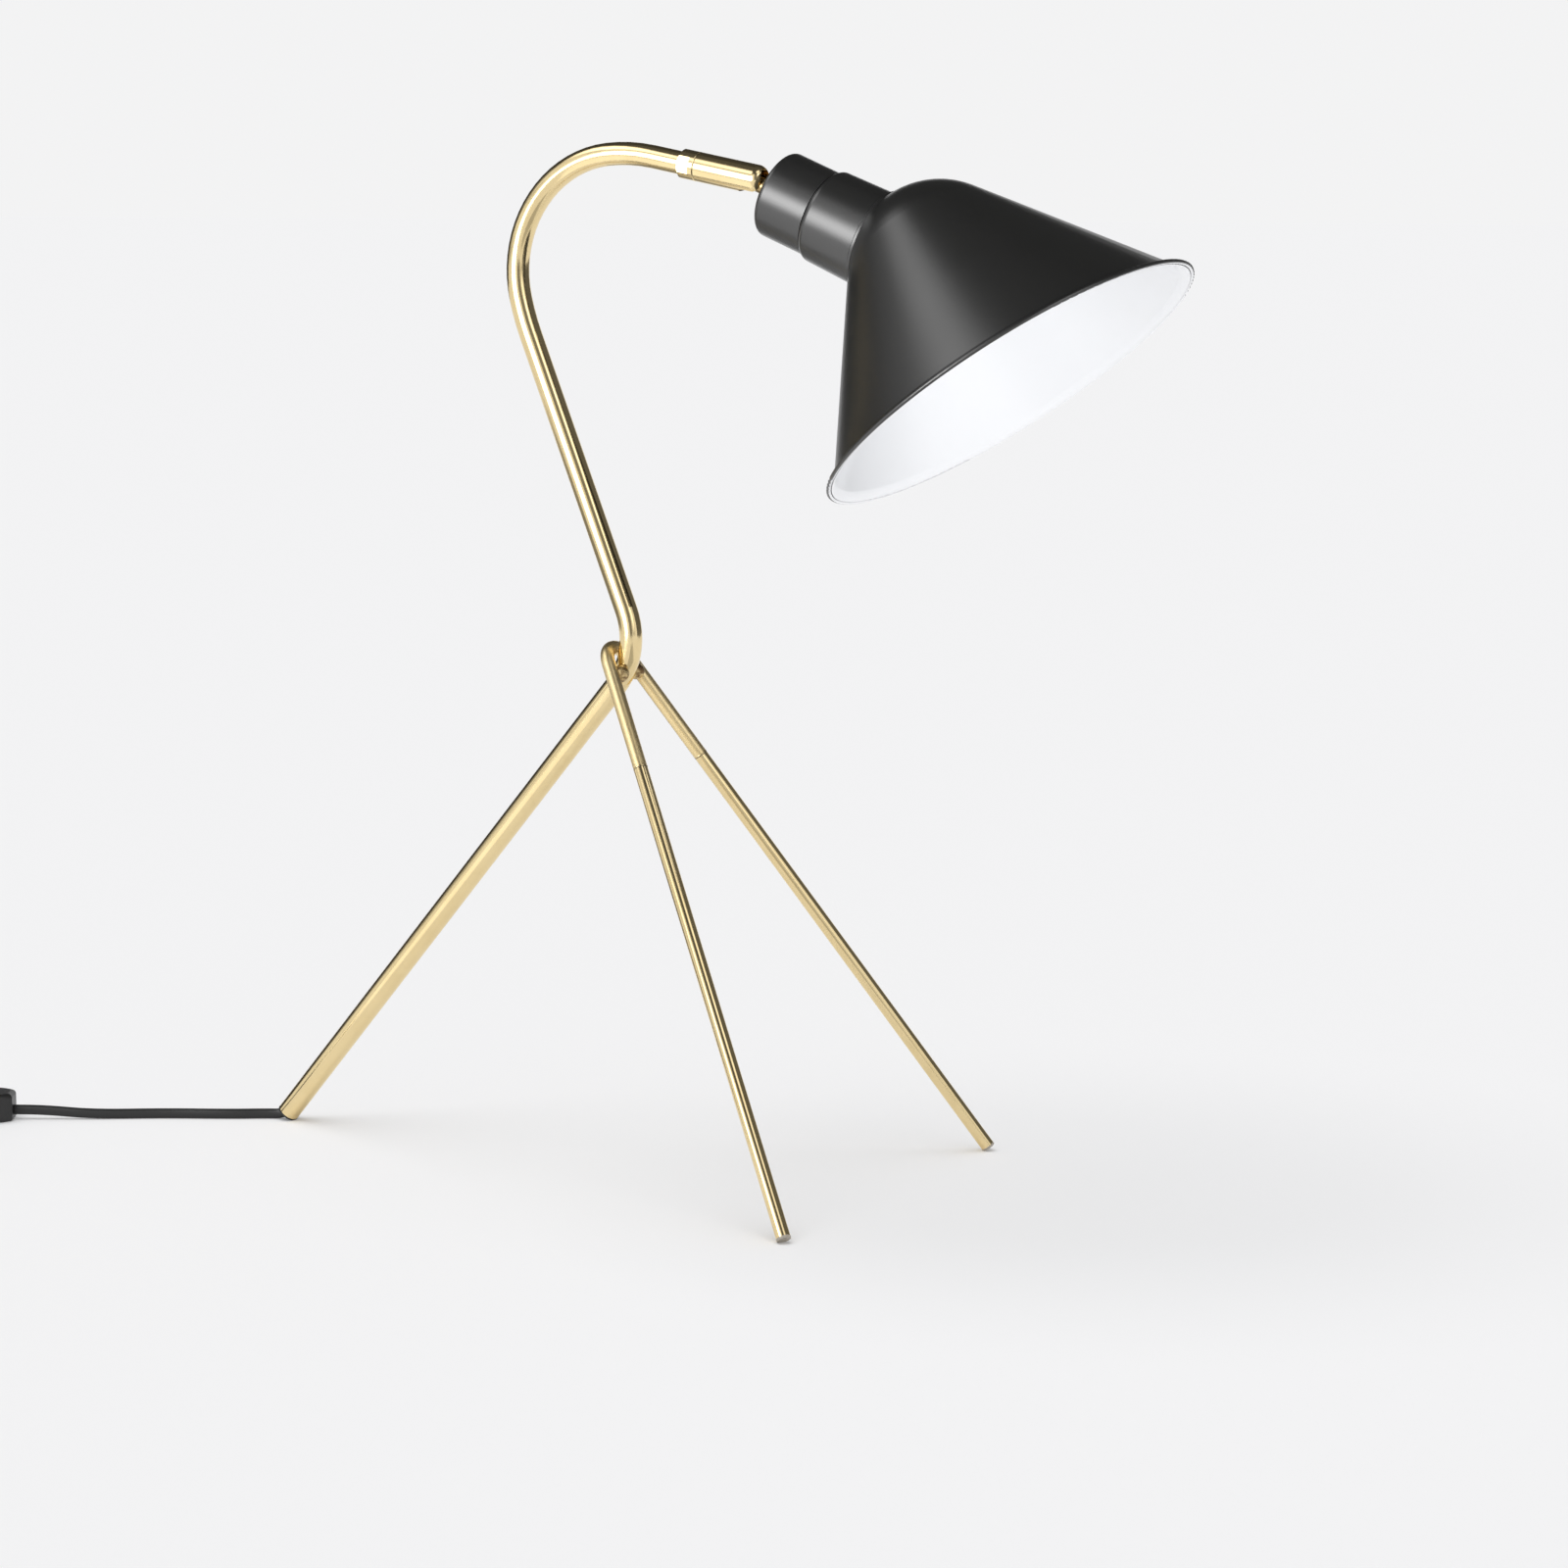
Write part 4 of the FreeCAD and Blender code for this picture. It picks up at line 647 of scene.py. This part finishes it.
# ---------------------------------------------------------------- stage
AMBIENT = 0.55                           # the world's light, as a share of what the camera sees
FLOOR_REACH = 40.0                       # from the lamp to the floor's edge
FLOOR_TONE = (0.75, 0.75, 0.756)         # the part of the floor that is lit
FLOOR_GLOW = 0.163                       # the part that is its own, as a share of the backdrop
SUN_POWER = 1.6
SUN_SPREAD = math.radians(58)
SUN_TOWARDS = (0.06, 0.14, -1.0)
FILL_POWER = 40.0
FILL_SPREAD = math.radians(15)
FILL_SIZE = 0.12                         # radius
FILL_PLACE = (1.05, -1.25, 0.22)
FILL_TARGET = (0.135, 0.0, 0.40)         # inside the shade
CARDS_CENTRE = (0.0, 0.0, 0.3)           # the cards stand round this place and face it
SOFTBOX_FADE = 0.8                       # how much a bright card dims towards its edges

# name, turn and rise in degrees, distance, width and height in metres, tone
CARDS = (
    ("key_softbox", -45, 8, 3.0, 2.2, 2.3, 8.5),
    ("side_softbox", -80, 49, 3.0, 2.8, 1.5, 2.5),
    ("low_softbox", -92, 12, 3.0, 1.0, 0.8, 1.3),
    ("right_strip", 37, 27, 3.0, 1.15, 3.4, 2.2),
    ("top_strip", 38, 54, 2.6, 1.5, 1.1, 1.6),
    ("front_flag", 7, 17, 3.2, 1.5, 2.6, 0.22),
    ("right_flag", 108, 16, 3.2, 5.4, 3.4, 0.13),
    ("left_tone", -110, 18, 3.0, 0.75, 1.6, 0.35),
    ("back_flag", 172, 46, 3.2, 4.4, 3.2, 0.05),
    ("left_flag", -138, 24, 3.4, 3.8, 3.4, 0.05),
    ("ceiling_flag", 0, 90, 3.4, 8.0, 8.0, 0.09),
)

# name, width and height, place in metres, turn in degrees, tone
FLOOR_TONES = (
    ("left_floor_tone", 1.2, 1.4, (-1.02, 0.0, 0.001), 0.0, 0.25),
    ("front_floor_tone", 0.44, 1.2, (0.58, -0.66, 0.001), 34.5, 0.5),
    ("near_floor_glow", 0.52, 1.2, (-0.55, -0.72, 0.002), -29.6, 1.25),
)


def direction(azimuth, elevation):
    """Unit vector to a place that stands round the lamp at an azimuth and an elevation."""
    level = math.cos(elevation)
    return Vector((math.sin(azimuth) * level, -math.cos(azimuth) * level, math.sin(elevation)))


def aim_at(item, towards):
    """Link an object that shines, faces or looks along its own -Z, and turn that to a direction."""
    item.rotation_mode = "QUATERNION"
    item.rotation_quaternion = Vector(towards).to_track_quat("-Z", "Y")
    bpy.context.scene.collection.objects.link(item)


def add_camera(settings):
    data = bpy.data.cameras.new("camera")
    data.lens = settings.lens
    data.sensor_width = 36.0
    data.clip_start = 0.05
    data.clip_end = 200.0
    camera = bpy.data.objects.new("camera", data)
    back = direction(settings.azimuth, settings.elevation)
    camera.location = Vector(settings.aim) + back * settings.distance
    aim_at(camera, -back)
    bpy.context.scene.camera = camera


def add_world(settings):
    """Even light all round, in the backdrop's colour. The camera, mirrored rays and rays through glass
    see it at its full tone, and it lights the lamp at less."""
    world = bpy.data.worlds.new("studio")
    bpy.context.scene.world = world
    tree = Tree(world)
    rays = [tree.node("ShaderNodeLightPath", output=f"Is {kind} Ray")
            for kind in ("Camera", "Transmission", "Glossy")]
    seen = (rays[0] + rays[1] + rays[2]).clamp()
    strength = AMBIENT + seen * (1 - AMBIENT)
    light = tree.node("ShaderNodeBackground", {}, [(*settings.backdrop, 1.0), strength])
    tree.node("ShaderNodeOutputWorld", {}, [light])


def flat_object(name, width, height):
    """A flat rectangle round its own middle, with no finish yet."""
    x, y = width / 2, height / 2
    mesh = bpy.data.meshes.new(name)
    mesh.from_pydata([(-x, -y, 0), (x, -y, 0), (x, y, 0), (-x, y, 0)], [], [(0, 1, 2, 3)])
    return bpy.data.objects.new(name, mesh)


def add_floor(settings):
    """Wide floor. Part of its tone is its own, so that it meets the backdrop without a line, and the
    rest is lit and carries the shadows."""
    floor = flat_object("floor", 2 * FLOOR_REACH, 2 * FLOOR_REACH)
    bpy.context.scene.collection.objects.link(floor)
    material, tree = new_material("floor")
    lit = tree.node("ShaderNodeBsdfDiffuse", {}, [(*FLOOR_TONE, 1.0)])
    own = tree.node("ShaderNodeEmission", {}, [(*settings.backdrop, 1.0), FLOOR_GLOW])
    both = tree.node("ShaderNodeAddShader", {}, [lit, own])
    tree.node("ShaderNodeOutputMaterial", {}, [both])
    floor.data.materials.append(material)


def reflected_only(card, tone, fade=0.0):
    """Give a card its tone, less a fade towards its edges, and show it in reflections alone."""
    material, tree = new_material(card.name)
    corner = card.data.vertices[2].co
    across = tree.dot(tree.place(), (1 / corner.x, 0, 0))
    upright = tree.dot(tree.place(), (0, 1 / corner.y, 0))
    strength = (1 - across * across * fade) * (1 - upright * upright * fade) * tone
    glow = tree.node("ShaderNodeEmission", {}, [(1.0, 1.0, 1.0, 1.0), strength])
    tree.node("ShaderNodeOutputMaterial", {}, [glow])
    card.data.materials.append(material)
    card.visible_camera = False
    card.visible_diffuse = False
    card.visible_transmission = False
    card.visible_shadow = False


def add_floor_tone(name, width, height, place, turn, tone):
    """A darker or lighter tone on the floor, which only metal and paint mirror."""
    card = flat_object(name, width, height)
    card.location = place
    card.rotation_euler.z = math.radians(turn)
    bpy.context.scene.collection.objects.link(card)
    reflected_only(card, tone)


def add_card(name, settings, turn, rise, distance, width, height, tone):
    """A flat card that only shows as a reflection: bright for a softbox, dark for a flag. Its place is
    given by its turn from the camera's side and its rise above the floor, in degrees."""
    card = flat_object(name, width, height)
    out = direction(settings.azimuth + math.radians(turn), math.radians(rise))
    card.location = Vector(CARDS_CENTRE) + out * distance
    aim_at(card, -out)
    reflected_only(card, tone, SOFTBOX_FADE if tone > 1 else 0.0)


def add_sun():
    """Broad soft light from overhead, a little from the front. It puts a shadow under each foot."""
    data = bpy.data.lights.new("soft_sun", "SUN")
    data.energy = SUN_POWER
    data.angle = SUN_SPREAD
    sun = bpy.data.objects.new("soft_sun", data)
    sun.visible_glossy = False
    aim_at(sun, SUN_TOWARDS)


def add_shade_fill():
    """Weak spot into the shade, from in front. It points up, so it passes over the floor."""
    data = bpy.data.lights.new("shade_fill", "SPOT")
    data.energy = FILL_POWER
    data.spot_size = FILL_SPREAD
    data.spot_blend = 1.0
    data.shadow_soft_size = FILL_SIZE
    spot = bpy.data.objects.new("shade_fill", data)
    spot.location = FILL_PLACE
    spot.visible_glossy = False
    aim_at(spot, Vector(FILL_TARGET) - spot.location)


class LAMP_OT_stage(bpy.types.Operator):
    """Set up the camera, the pale floor and backdrop, and the lights"""

    bl_idname = "lamp.stage"
    bl_label = "Stage"

    def execute(self, context):
        settings = context.scene.lamp_stage
        add_camera(settings)
        add_world(settings)
        add_floor(settings)
        for tone in FLOOR_TONES:
            add_floor_tone(*tone)
        add_sun()
        add_shade_fill()
        for name, *place in CARDS:
            add_card(name, settings, *place)
        bpy.context.scene.view_settings.view_transform = "Standard"
        return {"FINISHED"}


# ---------------------------------------------------------------- add-on
class LAMP_PT_panel(bpy.types.Panel):
    """Lists the lamp's settings and steps"""

    bl_idname = "LAMP_PT_panel"
    bl_label = "Tripod table lamp"
    bl_space_type = "VIEW_3D"
    bl_region_type = "UI"
    bl_category = "Lamp"

    def draw(self, context):
        for name in SETTINGS:
            group = getattr(context.scene, name)
            for key in group.__annotations__:
                self.layout.prop(group, key)
        for operator in OPERATORS:
            self.layout.operator(operator.bl_idname)


OPERATORS = (LAMP_OT_stage, LAMP_OT_flex, LAMP_OT_stand, LAMP_OT_swivel, LAMP_OT_head,
             LAMP_OT_lampholder, LAMP_OT_fittings)


def register():
    for group in (*SETTINGS.values(), *OPERATORS, LAMP_PT_panel):
        bpy.utils.register_class(group)
    for name, group in SETTINGS.items():
        setattr(bpy.types.Scene, name, bpy.props.PointerProperty(type=group))


def unregister():
    for name in SETTINGS:
        delattr(bpy.types.Scene, name)
    for group in (LAMP_PT_panel, *reversed(OPERATORS), *SETTINGS.values()):
        bpy.utils.unregister_class(group)


def main():
    register()
    for operator in OPERATORS:
        group, name = operator.bl_idname.split(".")
        getattr(getattr(bpy.ops, group), name)()


if __name__ == "__main__":
    main()
